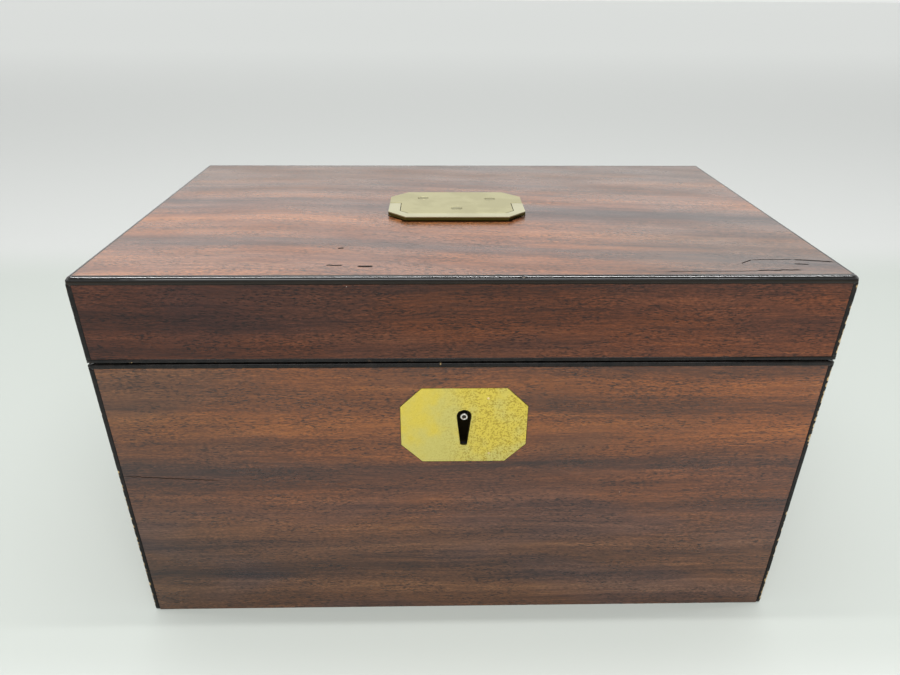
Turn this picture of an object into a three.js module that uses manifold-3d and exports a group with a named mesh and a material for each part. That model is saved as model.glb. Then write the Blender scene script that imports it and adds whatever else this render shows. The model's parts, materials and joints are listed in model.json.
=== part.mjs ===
// A rectangular tea caddy, nearly 12 inches wide: a pine carcase in mahogany veneer, with ebony stringing
// let into its edges, a sawn-off hinged lid with a military drop handle, a brass box lock, and a fitted
// inside with a foil-lined tea compartment on either side of a glass mixing bowl.
// Millimetres, +Z up, the front faces -Y, and the origin is the middle of the underside.
import * as THREE from "three";
import { mergeVertices } from "three/addons/utils/BufferGeometryUtils.js";
import Module from "manifold-3d";

const wasm = await Module();
wasm.setup();

// ---- Driving dimensions ----
const WIDTH = 302;
const DEPTH = 181;
const HEIGHT = 177; // from the table to the lid's top veneer
const SEAM_Z = 139.5; // top of the base
const SEAM_GAP = 0.6; // between base and lid, kept by the hinge leaves
const BASE_WALL = 10; // board and veneer together
const LID_WALL = 9.5;
const VENEER = 0.8;
const GLUE = 0.1; // clearance in every glued joint
const LIFT = 0.2; // the skins stop this far above the table
const CORNER_STRING = 2.2; // ebony square let into the upright edges
const RIM_STRING = 1.8; // height of the ebony at the seam
const TOP_STRING = 3; // height of the ebony round the lid's top
const BOTTOM_BOARD = 6;
const TOP_BOARD = 8;

const LINING = { ledge: 4.5, upstand: 2.5, ledgeZ: 130.9, topZ: 143.5 }; // boards inside the base
const PARTITION = { x: 57, thickness: 4, topZ: 137 };
const WELL = { topZ: 124, thickness: 5, holeRadius: 48 };
const FOIL = { thickness: 0.8, topZ: 128 };
const INNER_LID = { thickness: 5, axisY: 75.2, axisZ: 133.5, gap: 0.2, rod: 1.15 };
const ROD_SOCKET = { partition: 0.7, lining: 1 }; // past the partition's middle, short of the lining's back
const KNOB = { y: -8, dowel: 1.6, depth: 3.6 }; // a little in front of the inner lid's middle
const PAD = { bottom: 21.5, gap: 0.3 }; // the velvet pad in the lid, measured from the lid's lower edge

const HINGE = { x: 92, length: 36, leaf: 1.2, reach: 10.5, barrel: 2.4, pin: 1.15, offset: 2.5 };
const HINGE_KNUCKLES = 5;
const KNUCKLE_GAP = 0.1; // at each end of every knuckle
const KNUCKLE_ROOM = 0.3; // radial clearance round the other leaf's knuckles
const RUNNING = 0.2; // radial clearance round a hinge pin

// Slotted countersunk screws
const LOCK_SCREW = { head: 2, headDepth: 1.4, shank: 0.9, length: 13 };
const LINK_SCREW = { head: 1.9, headDepth: 1.3, shank: 0.9, length: 11 };
const HANDLE_SCREW = { head: 2.7, headDepth: 2, shank: 1.3, length: 9.6 };
const SCREW_TIP = 2.5; // length of the pointed end
const SCREW_SLOT = { half: 0.35, depth: 0.6 };

const ESCUTCHEON = { width: 53.7, height: 37.4, corner: 9, z: 109, proud: 0.15, thickness: 1.1 };
const KEYHOLE = { z: 113.9, radius: 3.1, foot: 1.35, drop: 14.9, sweep: 10, boardRoom: 0.3 };

const LOCK = { width: 60, height: 42.5, depth: 6.9, plate: 1, selvedge: 71, selvedgeThick: 1.5 };
const LOCK_FRONT_Y = -87.5;
const LOCK_SCREW_X = 32.7;
const DRILL_PIN = { z: 113.25, radius: 1.6, tail: 1, tailRoot: 0.5, endY: -90.2 };

// The bolt and its spring, as [x, z] places from the middle of the lock's top edge
const BOLT_PLATE = { low: [-24, -21.5], high: [12, -12.5] };
const BOLT_NECK = { low: [-24, -12.6], high: [-8, -4] };
const BOLT_TONGUE = { low: [-8.1, -8], high: [-2.2, -4] };
const BOLT_THICKNESS = 1.6;
const TALON = { x: -3, radius: 3 }; // the notch that the key's bit turns in
const SPRING = { foot: [28.6, -4.2], bend: [20, -5.2], tip: [6, -12.3], leaf: 0.7 };
const SPRING_SLANT = 0.6; // of its bearing end
const SPRING_OVERHANG = 0.6; // on each side of the bolt

const STAPLE = { thickness: 2.8, width: 3.6, drop: 11.5, post: 0.7, foot: 2.3, window: 5.4, room: 0.6 };
const LINK_PLATE = { half: 35, thickness: 1.5, screwX: 27, y0: -87.4, y1: -81 };

const HANDLE = { x: -1.5, y: -1.2, width: 65.5, depth: 42.5, corner: 8.6, proud: 2.2, sunk: 1 };
const HANDLE_RECESS_GAP = 0.15; // all round the plate
const BAIL = { arm: 5.45, bar: 5.6, inner: 4, thickness: 1.7, armEnd: 1.2, axisY: -0.3, axisRise: 0.4 };
const BAIL_NOTCH_GAP = 0.7; // behind the arms, so that they can turn
const BAIL_SIDE_GAP = 0.3;
const BAIL_POCKET = 1.8; // room for the arms in front of the axis
const BAIL_OVERHANG = 1.6; // how far the bail stands out over the plate's ledge
const OCTAGON_INSET = 0.6; // of the overhang: how much shorter the plate's cut corners are there
const TRUNNION = { radius: 0.6, reach: 3, hole: 0.75, end: 0.3 };
const HANDLE_SCREWS = [[-16.5, 10.4, "left"], [17.2, 9, "right"], [0, -7.3, "front"]];

const FINE = 36; // facets on a large turned piece
const COARSE = 16; // facets on a small one

// Worked out from the dimensions above
const HALF_X = WIDTH / 2;
const HALF_Y = DEPTH / 2;
const LID_Z = SEAM_Z + SEAM_GAP; // the lid group's origin stands at this height
const LID_HEIGHT = HEIGHT - LID_Z;
const SKIN = VENEER + GLUE; // from the outer face to the board
const AXIS_Y = HALF_Y + HINGE.offset;
const LOCK_Z = SEAM_Z;

// ---- Materials ----
const finish = (color, roughness, metalness = 0) =>
  new THREE.MeshStandardMaterial({ color, roughness, metalness });
const mahogany = finish(0x5c3020, 0.35);
const pine = finish(0xb8935f, 0.7);
const ebony = finish(0x17120f, 0.4);
const brass = finish(0xb39a4c, 0.35, 1);
const steel = finish(0x8f8a83, 0.4, 1);
const foil = finish(0x8d8f92, 0.5, 1);
const glass = finish(0xdfe8e6, 0.05);
glass.transparent = true;
glass.opacity = 0.4;
const velvet = finish(0x4a1620, 0.95);
const bone = finish(0xd9cba6, 0.45);

// ---- Solids ----
// A three.js geometry as a manifold-3d solid.
function solidOf(geometry) {
  const loose = geometry.index ? geometry.toNonIndexed() : geometry.clone();
  loose.deleteAttribute("normal");
  loose.deleteAttribute("uv");
  const merged = mergeVertices(loose, 1e-4);
  const corners = merged.index.array;
  const kept = [];
  for (let i = 0; i < corners.length; i += 3) {
    const [a, b, c] = corners.slice(i, i + 3);
    if (a !== b && b !== c && c !== a) kept.push(a, b, c);
  }
  const mesh = new wasm.Mesh({
    numProp: 3,
    vertProperties: merged.attributes.position.array,
    triVerts: new Uint32Array(kept),
  });
  return new wasm.Manifold(mesh);
}

// A box between two opposite corners.
function slab(low, high) {
  const size = high.map((value, i) => value - low[i]);
  const middle = high.map((value, i) => (value + low[i]) / 2);
  return solidOf(new THREE.BoxGeometry(...size).translate(...middle));
}

// A box that is as wide to the left of the middle plane as to the right.
const across = (half, [y0, z0], [y1, z1]) => slab([-half, y0, z0], [half, y1, z1]);

// A rod along X, Y or Z, between two places on that axis.
function rod(radius, axis, from, to, centre, facets = COARSE) {
  const geometry = new THREE.CylinderGeometry(radius, radius, to - from, facets);
  if (axis === "x") geometry.rotateZ(-Math.PI / 2);
  if (axis === "z") geometry.rotateX(Math.PI / 2);
  const place = { x: [0, ...centre], y: [centre[0], 0, centre[1]], z: [...centre, 0] }[axis];
  place["xyz".indexOf(axis)] = (from + to) / 2;
  return solidOf(geometry.translate(...place));
}

// A box on the left (side -1) or right (side 1), given by its distances from the middle plane.
function sideSlab(side, [near, far], [y0, z0], [y1, z1]) {
  const xs = [side * near, side * far].sort((a, b) => a - b);
  return slab([xs[0], y0, z0], [xs[1], y1, z1]);
}

function sideRod(side, radius, [near, far], centre, facets) {
  const xs = [side * near, side * far].sort((a, b) => a - b);
  return rod(radius, "x", xs[0], xs[1], centre, facets);
}

// A shape drawn in X and Y, standing up from one height to another.
function upright(shape, z0, z1, curveSegments = 12) {
  const options = { depth: z1 - z0, bevelEnabled: false, curveSegments };
  return solidOf(new THREE.ExtrudeGeometry(shape, options).translate(0, 0, z0));
}

// A shape drawn in X and Z, running back from y0 to y1.
function through(shape, y0, y1, curveSegments = 12) {
  const options = { depth: y1 - y0, bevelEnabled: false, curveSegments };
  const geometry = new THREE.ExtrudeGeometry(shape, options);
  return solidOf(geometry.rotateX(Math.PI / 2).translate(0, y1, 0));
}

// A profile of [radius, height] points, from the axis at the foot to the axis at the top, turned about Z.
function turned(profile, facets = COARSE) {
  const points = profile.map(([radius, height]) => new THREE.Vector2(radius, height));
  return solidOf(new THREE.LatheGeometry(points, facets).rotateX(Math.PI / 2));
}

const joined = (solids) => solids.reduce((whole, solid) => whole.add(solid));
const cut = (solid, ...tools) => tools.reduce((left, tool) => left.subtract(tool), solid);

function polygon(points) {
  return new THREE.Shape(points.map(([x, y]) => new THREE.Vector2(x, y)));
}

// A rectangle with its corners cut off at 45 degrees, as a shape centred on x, y.
function cutCornerShape(width, height, corner, x = 0, y = 0) {
  const [a, b] = [width / 2, height / 2];
  const [c, d] = [a - corner, b - corner];
  const points = [[-c, -b], [c, -b], [a, -d], [a, d], [c, b], [-c, b], [-a, d], [-a, -d]];
  return polygon(points.map(([px, py]) => [px + x, py + y]));
}

// A keyhole: a round head with a tapering slot under it, grown all round by a clearance.
function keyholeShape(z, grow = 0) {
  const foot = KEYHOLE.foot + grow;
  const floor = z - KEYHOLE.drop - grow;
  const sweep = THREE.MathUtils.degToRad(KEYHOLE.sweep);
  const shape = new THREE.Shape();
  shape.moveTo(-foot, floor);
  shape.lineTo(foot, floor);
  shape.absarc(0, z, KEYHOLE.radius + grow, -sweep, Math.PI + sweep);
  shape.closePath();
  return shape;
}

function countersunkScrew({ head, headDepth, shank, length }) {
  const shankTop = [shank, -headDepth];
  const body = turned([[0, -length], [shank, SCREW_TIP - length], shankTop, [head, 0], [0, 0]]);
  const { half, depth } = SCREW_SLOT;
  return cut(body, slab([-head, -half, -depth], [head, half, 1]));
}

// The hole that such a screw goes into, with its countersink, a little larger all round.
function screwHole({ head, headDepth, shank, length }, x, y, z) {
  const [wide, narrow, foot] = [head + GLUE, shank + GLUE, -length - GLUE];
  const shaft = [[0, foot], [narrow, foot], [narrow, -headDepth]];
  return turned([...shaft, [wide, 0], [wide, 1], [0, 1]]).translate([x, y, z]);
}

function node(name, solid, material, position = [0, 0, 0]) {
  const { vertProperties, triVerts } = solid.getMesh();
  const geometry = new THREE.BufferGeometry();
  geometry.setAttribute("position", new THREE.BufferAttribute(new Float32Array(vertProperties), 3));
  geometry.setIndex(new THREE.BufferAttribute(new Uint32Array(triVerts), 1));
  geometry.computeVertexNormals();
  const mesh = new THREE.Mesh(geometry, material);
  mesh.name = name;
  mesh.position.set(...position);
  return mesh;
}

// ---- Carcase, veneer and stringing ----
// The stringing as one mitred cage: a ring at each height and four uprights. Grown by grow, it is the
// rebate that the boards and veneers leave for it.
function stringing(low, high, rings, grow = 0) {
  const [x, y, s] = [HALF_X, HALF_Y, CORNER_STRING + grow];
  const beyond = grow ? 1 : 0;
  const parts = [];
  for (const i of [-1, 1])
    for (const j of [-1, 1]) {
      const xs = [i * (x + beyond), i * (x - s)].sort((a, b) => a - b);
      const ys = [j * (y + beyond), j * (y - s)].sort((a, b) => a - b);
      parts.push(slab([xs[0], ys[0], low], [xs[1], ys[1], high]));
    }
  for (const [z0, z1] of rings) {
    const outer = across(x + beyond, [-y - beyond, z0], [y + beyond, z1]);
    parts.push(cut(outer, across(x - s, [s - y, z0 - 1], [y - s, z1 + 1])));
  }
  return joined(parts);
}

// The four upright walls of the base or the lid: a long board at the front and at the back, the side boards
// between them, and a sheet of veneer on each.
function walls(prefix, wall, boardZ, veneerZ, frame) {
  const half = HALF_X - SKIN;
  const inner = [HALF_X - wall, HALF_Y - wall];
  const sheet = [HALF_X - CORNER_STRING - GLUE, HALF_Y - CORNER_STRING - GLUE];
  const side = inner[1] - GLUE;
  const board = (low, high) => slab([...low, boardZ[0]], [...high, boardZ[1]]);
  const skin = (low, high) => slab([...low, veneerZ[0]], [...high, veneerZ[1]]);
  return {
    [`${prefix}_front_${frame}`]: board([-half, SKIN - HALF_Y], [half, -inner[1]]),
    [`${prefix}_back_${frame}`]: board([-half, inner[1]], [half, HALF_Y - SKIN]),
    [`${prefix}_left_${frame}`]: board([SKIN - HALF_X, -side], [-inner[0], side]),
    [`${prefix}_right_${frame}`]: board([inner[0], -side], [HALF_X - SKIN, side]),
    [`${prefix}_front_veneer`]: skin([-sheet[0], -HALF_Y], [sheet[0], VENEER - HALF_Y]),
    [`${prefix}_back_veneer`]: skin([-sheet[0], HALF_Y - VENEER], [sheet[0], HALF_Y]),
    [`${prefix}_left_veneer`]: skin([-HALF_X, -sheet[1]], [VENEER - HALF_X, sheet[1]]),
    [`${prefix}_right_veneer`]: skin([HALF_X - VENEER, -sheet[1]], [HALF_X, sheet[1]]),
  };
}

// The mortises for one pair of hinge leaves, as tools about a seam at height z, cut up or down from it.
function hingeMortises(z, direction) {
  const [near, far] = [z - direction, z + direction * (HINGE.leaf + GLUE)];
  const half = HINGE.length / 2 + GLUE;
  const from = AXIS_Y - HINGE.reach - GLUE;
  return [-1, 1].map((side) => {
    const x = side * HINGE.x;
    return slab([x - half, from, Math.min(near, far)], [x + half, HALF_Y + 1, Math.max(near, far)]);
  });
}

function escutcheonRecess() {
  const { width, height, corner, z, thickness, proud } = ESCUTCHEON;
  const shape = cutCornerShape(width + 2 * GLUE, height + 2 * GLUE, corner, 0, z);
  return through(shape, -HALF_Y - 1, thickness - proud - HALF_Y + GLUE);
}

const boardNames = (made) => Object.keys(made).filter((name) => !name.endsWith("veneer"));

function baseCarcase() {
  const rim = [SEAM_Z - RIM_STRING, SEAM_Z];
  const made = walls("base", BASE_WALL, [0, SEAM_Z], [LIFT, rim[0] - GLUE], "board");
  const rebate = stringing(-1, SEAM_Z, [[rim[0] - GLUE, SEAM_Z + 1]], GLUE);
  const mortises = hingeMortises(SEAM_Z, -1);
  for (const name of boardNames(made)) {
    made[name] = cut(made[name], rebate);
  }
  made.base_back_board = cut(made.base_back_board, ...mortises);
  const keyhole = through(keyholeShape(KEYHOLE.z, KEYHOLE.boardRoom), -HALF_Y - 1, LOCK_FRONT_Y + 1);
  made.base_front_veneer = cut(made.base_front_veneer, escutcheonRecess());
  made.base_front_board = cut(made.base_front_board, escutcheonRecess(), keyhole, ...lockPocket());
  const inner = [HALF_X - BASE_WALL - GLUE, HALF_Y - BASE_WALL - GLUE];
  made.base_bottom_board = slab([-inner[0], -inner[1], 0], [inner[0], inner[1], BOTTOM_BOARD]);
  const nodes = Object.entries(made).map(([name, solid]) =>
    node(name, solid, name.endsWith("veneer") ? mahogany : pine));
  const cage = cut(stringing(LIFT, SEAM_Z, [rim]), ...mortises);
  nodes.push(node("base_edge_stringing", cage, ebony));
  return nodes;
}

// Heights in the lid's carcase are measured from its lower edge.
function lidCarcase() {
  const lower = [0, RIM_STRING];
  const upper = [LID_HEIGHT - TOP_STRING, LID_HEIGHT];
  const boardTop = LID_HEIGHT - SKIN;
  const railTop = boardTop - TOP_BOARD - GLUE;
  const made = walls("lid", LID_WALL, [0, railTop], [lower[1] + GLUE, upper[0] - GLUE], "rail");
  const rings = [[-1, lower[1] + GLUE], [upper[0] - GLUE, upper[1] + 1]];
  const rebate = stringing(-1, LID_HEIGHT + 1, rings, GLUE);
  const mortises = hingeMortises(0, 1);
  const reach = HALF_Y - SKIN;
  made.lid_top_board = across(HALF_X - SKIN, [-reach, boardTop - TOP_BOARD], [reach, boardTop]);
  for (const name of boardNames(made)) {
    made[name] = cut(made[name], rebate);
  }
  const sheet = [HALF_X - CORNER_STRING - GLUE, HALF_Y - CORNER_STRING - GLUE];
  made.lid_top_veneer = across(sheet[0], [-sheet[1], LID_HEIGHT - VENEER], [sheet[1], LID_HEIGHT]);
  made.lid_top_veneer = cut(made.lid_top_veneer, handleRecess());
  made.lid_top_board = cut(made.lid_top_board, handleRecess(), ...handleScrewHoles(LID_HEIGHT));
  made.lid_back_rail = cut(made.lid_back_rail, ...mortises);
  made.lid_front_rail = cut(made.lid_front_rail, ...linkPlatePocket());
  const nodes = Object.entries(made).map(([name, solid]) =>
    node(name, solid, name.endsWith("veneer") ? mahogany : pine));
  const cage = cut(stringing(0, LID_HEIGHT, [lower, upper]), ...mortises);
  nodes.push(node("lid_edge_stringing", cage, ebony));
  return nodes;
}

// ---- Hinges ----
// One leaf of a butt hinge about the X axis. side is -1 for the base's leaf, under the seam, and 1 for the
// lid's, over it. The base's leaf has the first, middle and last knuckles.
function hingeLeaf(side) {
  const { length, leaf, reach, barrel, pin } = HINGE;
  const near = (side * SEAM_GAP) / 2;
  const plate = slab(
    [-length / 2, -reach, Math.min(near, near + side * leaf)],
    [length / 2, 0, Math.max(near, near + side * leaf)],
  );
  const pitch = length / HINGE_KNUCKLES;
  const knuckles = { own: [], other: [] };
  for (let i = 0; i < HINGE_KNUCKLES; i++) {
    const from = i * pitch - length / 2;
    const [start, end] = [from - KNUCKLE_GAP, from + pitch + KNUCKLE_GAP];
    const own = (i % 2 === 0) === side < 0;
    if (own) {
      knuckles.own.push(rod(barrel, "x", from, from + pitch, [0, 0]));
    } else {
      knuckles.other.push(rod(barrel + KNUCKLE_ROOM, "x", start, end, [0, 0]));
    }
  }
  const solid = cut(joined([plate, ...knuckles.own]), ...knuckles.other);
  return cut(solid, rod(pin + RUNNING, "x", -length, length, [0, 0]));
}

function hinges(side) {
  const words = side < 0 ? "base_leaf" : "lid_leaf";
  const z = side < 0 ? SEAM_Z + SEAM_GAP / 2 : -SEAM_GAP / 2;
  return [["left", -HINGE.x], ["right", HINGE.x]].map(([where, x]) =>
    node(`hinge_${where}_${words}`, hingeLeaf(side), brass, [x, AXIS_Y, z]));
}

function hingePins() {
  const pin = rod(HINGE.pin, "x", -HINGE.length / 2, HINGE.length / 2, [0, 0]);
  return [["left", -HINGE.x], ["right", HINGE.x]].map(([where, x]) =>
    node(`hinge_${where}_pin`, pin, steel, [x, AXIS_Y, SEAM_Z + SEAM_GAP / 2]));
}

// ---- Escutcheon and lock ----
function escutcheon() {
  const { width, height, corner, z, proud, thickness } = ESCUTCHEON;
  const [front, back] = [-HALF_Y - proud, thickness - proud - HALF_Y];
  const plate = through(cutCornerShape(width, height, corner, 0, z), front, back);
  const hole = through(keyholeShape(KEYHOLE.z), -HALF_Y - 2, -HALF_Y + 2);
  return node("escutcheon", cut(plate, hole), brass);
}

function lockPocket() {
  const { width, height, depth, selvedge, selvedgeThick } = LOCK;
  const back = LOCK_FRONT_Y + depth + GLUE + 1;
  const front = LOCK_FRONT_Y - GLUE;
  const body = across(width / 2 + GLUE, [front, LOCK_Z - height - GLUE], [back, LOCK_Z + 1]);
  const plate = across(selvedge / 2 + GLUE, [front, LOCK_Z - selvedgeThick - GLUE], [back, LOCK_Z + 1]);
  const screwY = LOCK_FRONT_Y + depth / 2;
  const holes = [-1, 1].map((side) => screwHole(LOCK_SCREW, side * LOCK_SCREW_X, screwY, LOCK_Z));
  return [body, plate, ...holes];
}

// The pieces of the lock, in a group whose origin is the middle of the selvedge's top front edge.
function lockPieces() {
  const { width, height, depth, plate, selvedge, selvedgeThick } = LOCK;
  const half = width / 2;
  const capY = depth - plate;
  const body = across(half, [0, -height], [capY - GLUE, 0]);
  const room = across(half - plate, [plate, plate - height], [depth, -selvedgeThick]);
  const top = across(selvedge / 2, [0, -selvedgeThick], [depth, 0]);
  const slotHalf = STAPLE.thickness / 2 + STAPLE.room;
  const slot = across(slotHalf, [plate, -selvedgeThick - 1], [capY - GLUE, 1]);
  const keyhole = through(keyholeShape(KEYHOLE.z - LOCK_Z), -1, plate + 1);
  const holes = [-1, 1].map((side) => screwHole(LOCK_SCREW, side * LOCK_SCREW_X, depth / 2, 0));
  const lockCase = cut(body.add(top), room, slot, keyhole, ...holes);

  const pinZ = DRILL_PIN.z - LOCK_Z;
  const cap = cut(
    across(half, [capY, -height], [depth, -selvedgeThick - GLUE]),
    rod(DRILL_PIN.tail + GLUE, "y", 0, depth + 1, [0, pinZ]),
  );
  const pin = joined([
    rod(DRILL_PIN.radius, "y", DRILL_PIN.endY - LOCK_FRONT_Y, capY - GLUE, [0, pinZ]),
    rod(DRILL_PIN.tail, "y", capY - GLUE - DRILL_PIN.tailRoot, depth, [0, pinZ]),
  ]);
  const screw = countersunkScrew(LOCK_SCREW);
  return [
    node("lock_case", lockCase, brass),
    node("lock_cap", cap, brass),
    node("lock_drill_pin", pin, steel),
    node("lock_bolt", lockBolt(), brass),
    node("lock_spring", lockSpring(), steel),
    node("lock_screw_left", screw, brass, [-LOCK_SCREW_X, depth / 2, 0]),
    node("lock_screw_right", screw, brass, [LOCK_SCREW_X, depth / 2, 0]),
  ];
}

const BOLT_Y = (LOCK.depth - GLUE - BOLT_THICKNESS) / 2; // its front face, halfway between case and cap
const BOLT_BACK = BOLT_Y + BOLT_THICKNESS;

// The bolt lies drawn back. Its tongue shoots to +X through the staple, and the key's bit turns in the
// round talon in its lower edge.
function lockBolt() {
  const parts = [BOLT_PLATE, BOLT_NECK, BOLT_TONGUE].map(({ low, high }) =>
    slab([low[0], BOLT_Y, low[1]], [high[0], BOLT_BACK, high[1]]));
  const talon = rod(TALON.radius, "y", BOLT_Y - 1, BOLT_BACK + 1, [TALON.x, BOLT_PLATE.low[1]]);
  return cut(joined(parts), talon);
}

// A bowed leaf whose free end bears on the bolt and whose foot is wedged against the case.
function lockSpring() {
  const { foot, bend, tip, leaf } = SPRING;
  const strip = new THREE.Shape();
  strip.moveTo(...foot);
  strip.quadraticCurveTo(...bend, ...tip);
  strip.lineTo(tip[0] + SPRING_SLANT, tip[1] + leaf);
  strip.quadraticCurveTo(bend[0], bend[1] + leaf, foot[0], foot[1] + leaf);
  strip.closePath();
  return through(strip, BOLT_Y - SPRING_OVERHANG, BOLT_BACK + SPRING_OVERHANG);
}

function linkPlatePocket() {
  const { half, thickness, screwX, y0, y1 } = LINK_PLATE;
  const recess = across(half + GLUE, [y0 - GLUE, -1], [y1 + GLUE, thickness + GLUE]);
  const [narrow, length] = [LINK_SCREW.shank + GLUE, LINK_SCREW.length + GLUE];
  const holes = [-1, 1].map((side) => rod(narrow, "z", -1, length, [side * screwX, (y0 + y1) / 2]));
  return [recess, ...holes];
}

// The plate under the lid's front edge, with the staple that drops into the lock.
function linkPlate() {
  const { half, thickness, screwX, y0, y1 } = LINK_PLATE;
  const { width, drop, post, foot, window } = STAPLE;
  const middle = LOCK_FRONT_Y + BOLT_Y + BOLT_THICKNESS / 2;
  const thin = STAPLE.thickness / 2;
  const plate = across(half, [y0, 0], [y1, thickness]);
  const staple = across(thin, [middle - width / 2, -drop], [middle + width / 2, thickness / 2]);
  const opening = across(thin + 1, [middle - width / 2 + post, foot - drop],
    [middle + width / 2 - post, foot - drop + window]);
  const holes = [-1, 1].map((side) =>
    screwHole(LINK_SCREW, 0, 0, 0).rotate([180, 0, 0]).translate([side * screwX, (y0 + y1) / 2, 0]));
  return cut(plate.add(staple), opening, ...holes);
}

function linkPieces() {
  const { screwX, y0, y1 } = LINK_PLATE;
  const screw = countersunkScrew(LINK_SCREW);
  const nodes = [node("link_plate", linkPlate(), brass)];
  for (const [where, side] of [["left", -1], ["right", 1]]) {
    const made = node(`link_screw_${where}`, screw, brass, [side * screwX, (y0 + y1) / 2, 0]);
    made.rotation.x = Math.PI; // it goes up into the rail
    nodes.push(made);
  }
  return nodes;
}

// ---- Military handle ----
function handleRecess() {
  const { x, y, width, depth, corner, sunk } = HANDLE;
  const room = 2 * HANDLE_RECESS_GAP;
  const shape = cutCornerShape(width + room, depth + room, corner, x, y);
  return upright(shape, LID_HEIGHT - sunk - GLUE, LID_HEIGHT + 1);
}

function handleScrewHoles(surface) {
  return HANDLE_SCREWS.map(([x, y]) =>
    screwHole(HANDLE_SCREW, HANDLE.x + x, HANDLE.y + y, surface + HANDLE.proud));
}

// The part of the handle between its arms, as a shape. grow widens it towards the arms.
function tongueShape(grow) {
  const x = HANDLE.width / 2 - BAIL.arm + grow;
  const y = BAIL.bar - HANDLE.depth / 2 - grow;
  const c = BAIL.inner;
  const top = HANDLE.depth;
  return polygon([[c - x, y], [x - c, y], [x, y + c], [x, top], [-x, top], [-x, y + c]]);
}

// In the handle's own frame: its middle on the lid's surface. The bail lies on a ledge round the plate's
// front half, flush with the plate, and the plate is cut away behind and under the ends of its arms.
function handlePlate() {
  const { width, depth, corner, proud, sunk } = HANDLE;
  const ledge = proud - BAIL.thickness - GLUE;
  const notch = BAIL.armEnd + BAIL_NOTCH_GAP;
  const large = width;
  const whole = upright(cutCornerShape(width, depth, corner), -sunk, proud);
  const bailRoom = cut(
    slab([-large, -large, ledge], [large, notch, proud + 1]),
    upright(tongueShape(-BAIL_SIDE_GAP), ledge - 1, proud + 2),
  );
  const [inset, cornerInset] = [2 * BAIL_OVERHANG, BAIL_OVERHANG * OCTAGON_INSET];
  const stand = cutCornerShape(width - inset, depth - inset, corner - cornerInset);
  const underBail = cut(
    slab([-large, -large, -sunk - 1], [large, notch, ledge + GLUE]),
    upright(stand, -sunk - 2, ledge + 1),
  );
  const armX = width / 2 - BAIL.arm - BAIL_SIDE_GAP;
  const pockets = [-1, 1].map((side) =>
    sideSlab(side, [armX, large], [BAIL.axisY - BAIL_POCKET, -sunk - 1], [notch, proud + 1]));
  const axisZ = proud - BAIL.thickness + BAIL.axisRise;
  const holeFrom = width / 2 - BAIL.arm - TRUNNION.reach - TRUNNION.end;
  const holes = [-1, 1].map((side) =>
    sideRod(side, TRUNNION.hole, [holeFrom, large], [BAIL.axisY, axisZ]));
  const screws = HANDLE_SCREWS.map(([x, y]) => screwHole(HANDLE_SCREW, x, y, proud));
  return cut(whole, bailRoom, underBail, ...pockets, ...holes, ...screws);
}

function handleBail() {
  const { width, depth, corner, proud } = HANDLE;
  const z0 = proud - BAIL.thickness;
  const outline = upright(cutCornerShape(width, depth, corner), z0, proud);
  const bow = cut(
    outline,
    upright(tongueShape(0), z0 - 1, proud + 1),
    slab([-width, BAIL.armEnd, z0 - 1], [width, depth, proud + 1]),
  );
  const armX = width / 2 - BAIL.arm;
  const axis = [BAIL.axisY, z0 + BAIL.axisRise];
  const trunnions = [-1, 1].map((side) =>
    sideRod(side, TRUNNION.radius, [armX - TRUNNION.reach, armX + 1], axis));
  return joined([bow, ...trunnions]);
}

function handlePieces() {
  const nodes = [node("handle_plate", handlePlate(), brass), node("handle_bail", handleBail(), brass)];
  const screw = countersunkScrew(HANDLE_SCREW);
  for (const [x, y, where] of HANDLE_SCREWS)
    nodes.push(node(`handle_screw_${where}`, screw, brass, [x, y, HANDLE.proud]));
  return nodes;
}

// ---- Fitted inside ----
const INSIDE_X = HALF_X - BASE_WALL - GLUE;
const INSIDE_Y = HALF_Y - BASE_WALL - GLUE;
const FLOOR = BOTTOM_BOARD + GLUE;
const KNOB_X = (PARTITION.x + INSIDE_X) / 2;

// A lining board at the front (side -1) or back (side 1): a ledge for the inner lids, and a thinner
// upstand that guides the lid.
function longLining(side) {
  const { ledge, upstand, ledgeZ, topZ } = LINING;
  const board = (thickness, top) => {
    const ys = [side * INSIDE_Y, side * (INSIDE_Y - thickness)].sort((a, b) => a - b);
    return slab([-INSIDE_X, ys[0], FLOOR], [INSIDE_X, ys[1], top]);
  };
  return board(ledge, ledgeZ).add(board(upstand, topZ));
}

const LEDGE_Y = INSIDE_Y - LINING.ledge - GLUE; // pieces between the two ledges reach this far
const UPSTAND_Y = INSIDE_Y - LINING.upstand - GLUE; // and those above them this far

function shortLining(side) {
  const { ledge, upstand, ledgeZ, topZ } = LINING;
  const over = ledgeZ + GLUE;
  const board = joined([
    sideSlab(side, [INSIDE_X - ledge, INSIDE_X], [-LEDGE_Y, FLOOR], [LEDGE_Y, ledgeZ]),
    sideSlab(side, [INSIDE_X - upstand, INSIDE_X], [-LEDGE_Y, FLOOR], [LEDGE_Y, topZ]),
    sideSlab(side, [INSIDE_X - upstand, INSIDE_X], [-UPSTAND_Y, over], [UPSTAND_Y, topZ]),
  ]);
  return cut(board, rodHole(side));
}

// The hinge rods of the inner lids run from the side lining to the partition, a little short of each
// blind hole's end.
const ROD_ENDS = [PARTITION.x - ROD_SOCKET.partition, INSIDE_X - ROD_SOCKET.lining];

function rodHole(side) {
  const ends = [ROD_ENDS[0] - GLUE, ROD_ENDS[1] + GLUE];
  return sideRod(side, INNER_LID.rod + GLUE, ends, [INNER_LID.axisY, INNER_LID.axisZ]);
}

function partition(side) {
  const { x, thickness, topZ } = PARTITION;
  const faces = [x - thickness / 2, x + thickness / 2];
  const board = joined([
    sideSlab(side, faces, [-LEDGE_Y, FLOOR], [LEDGE_Y, topZ]),
    sideSlab(side, faces, [-UPSTAND_Y, LINING.ledgeZ + GLUE], [UPSTAND_Y, topZ]),
  ]);
  return cut(board, rodHole(side));
}

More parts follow.
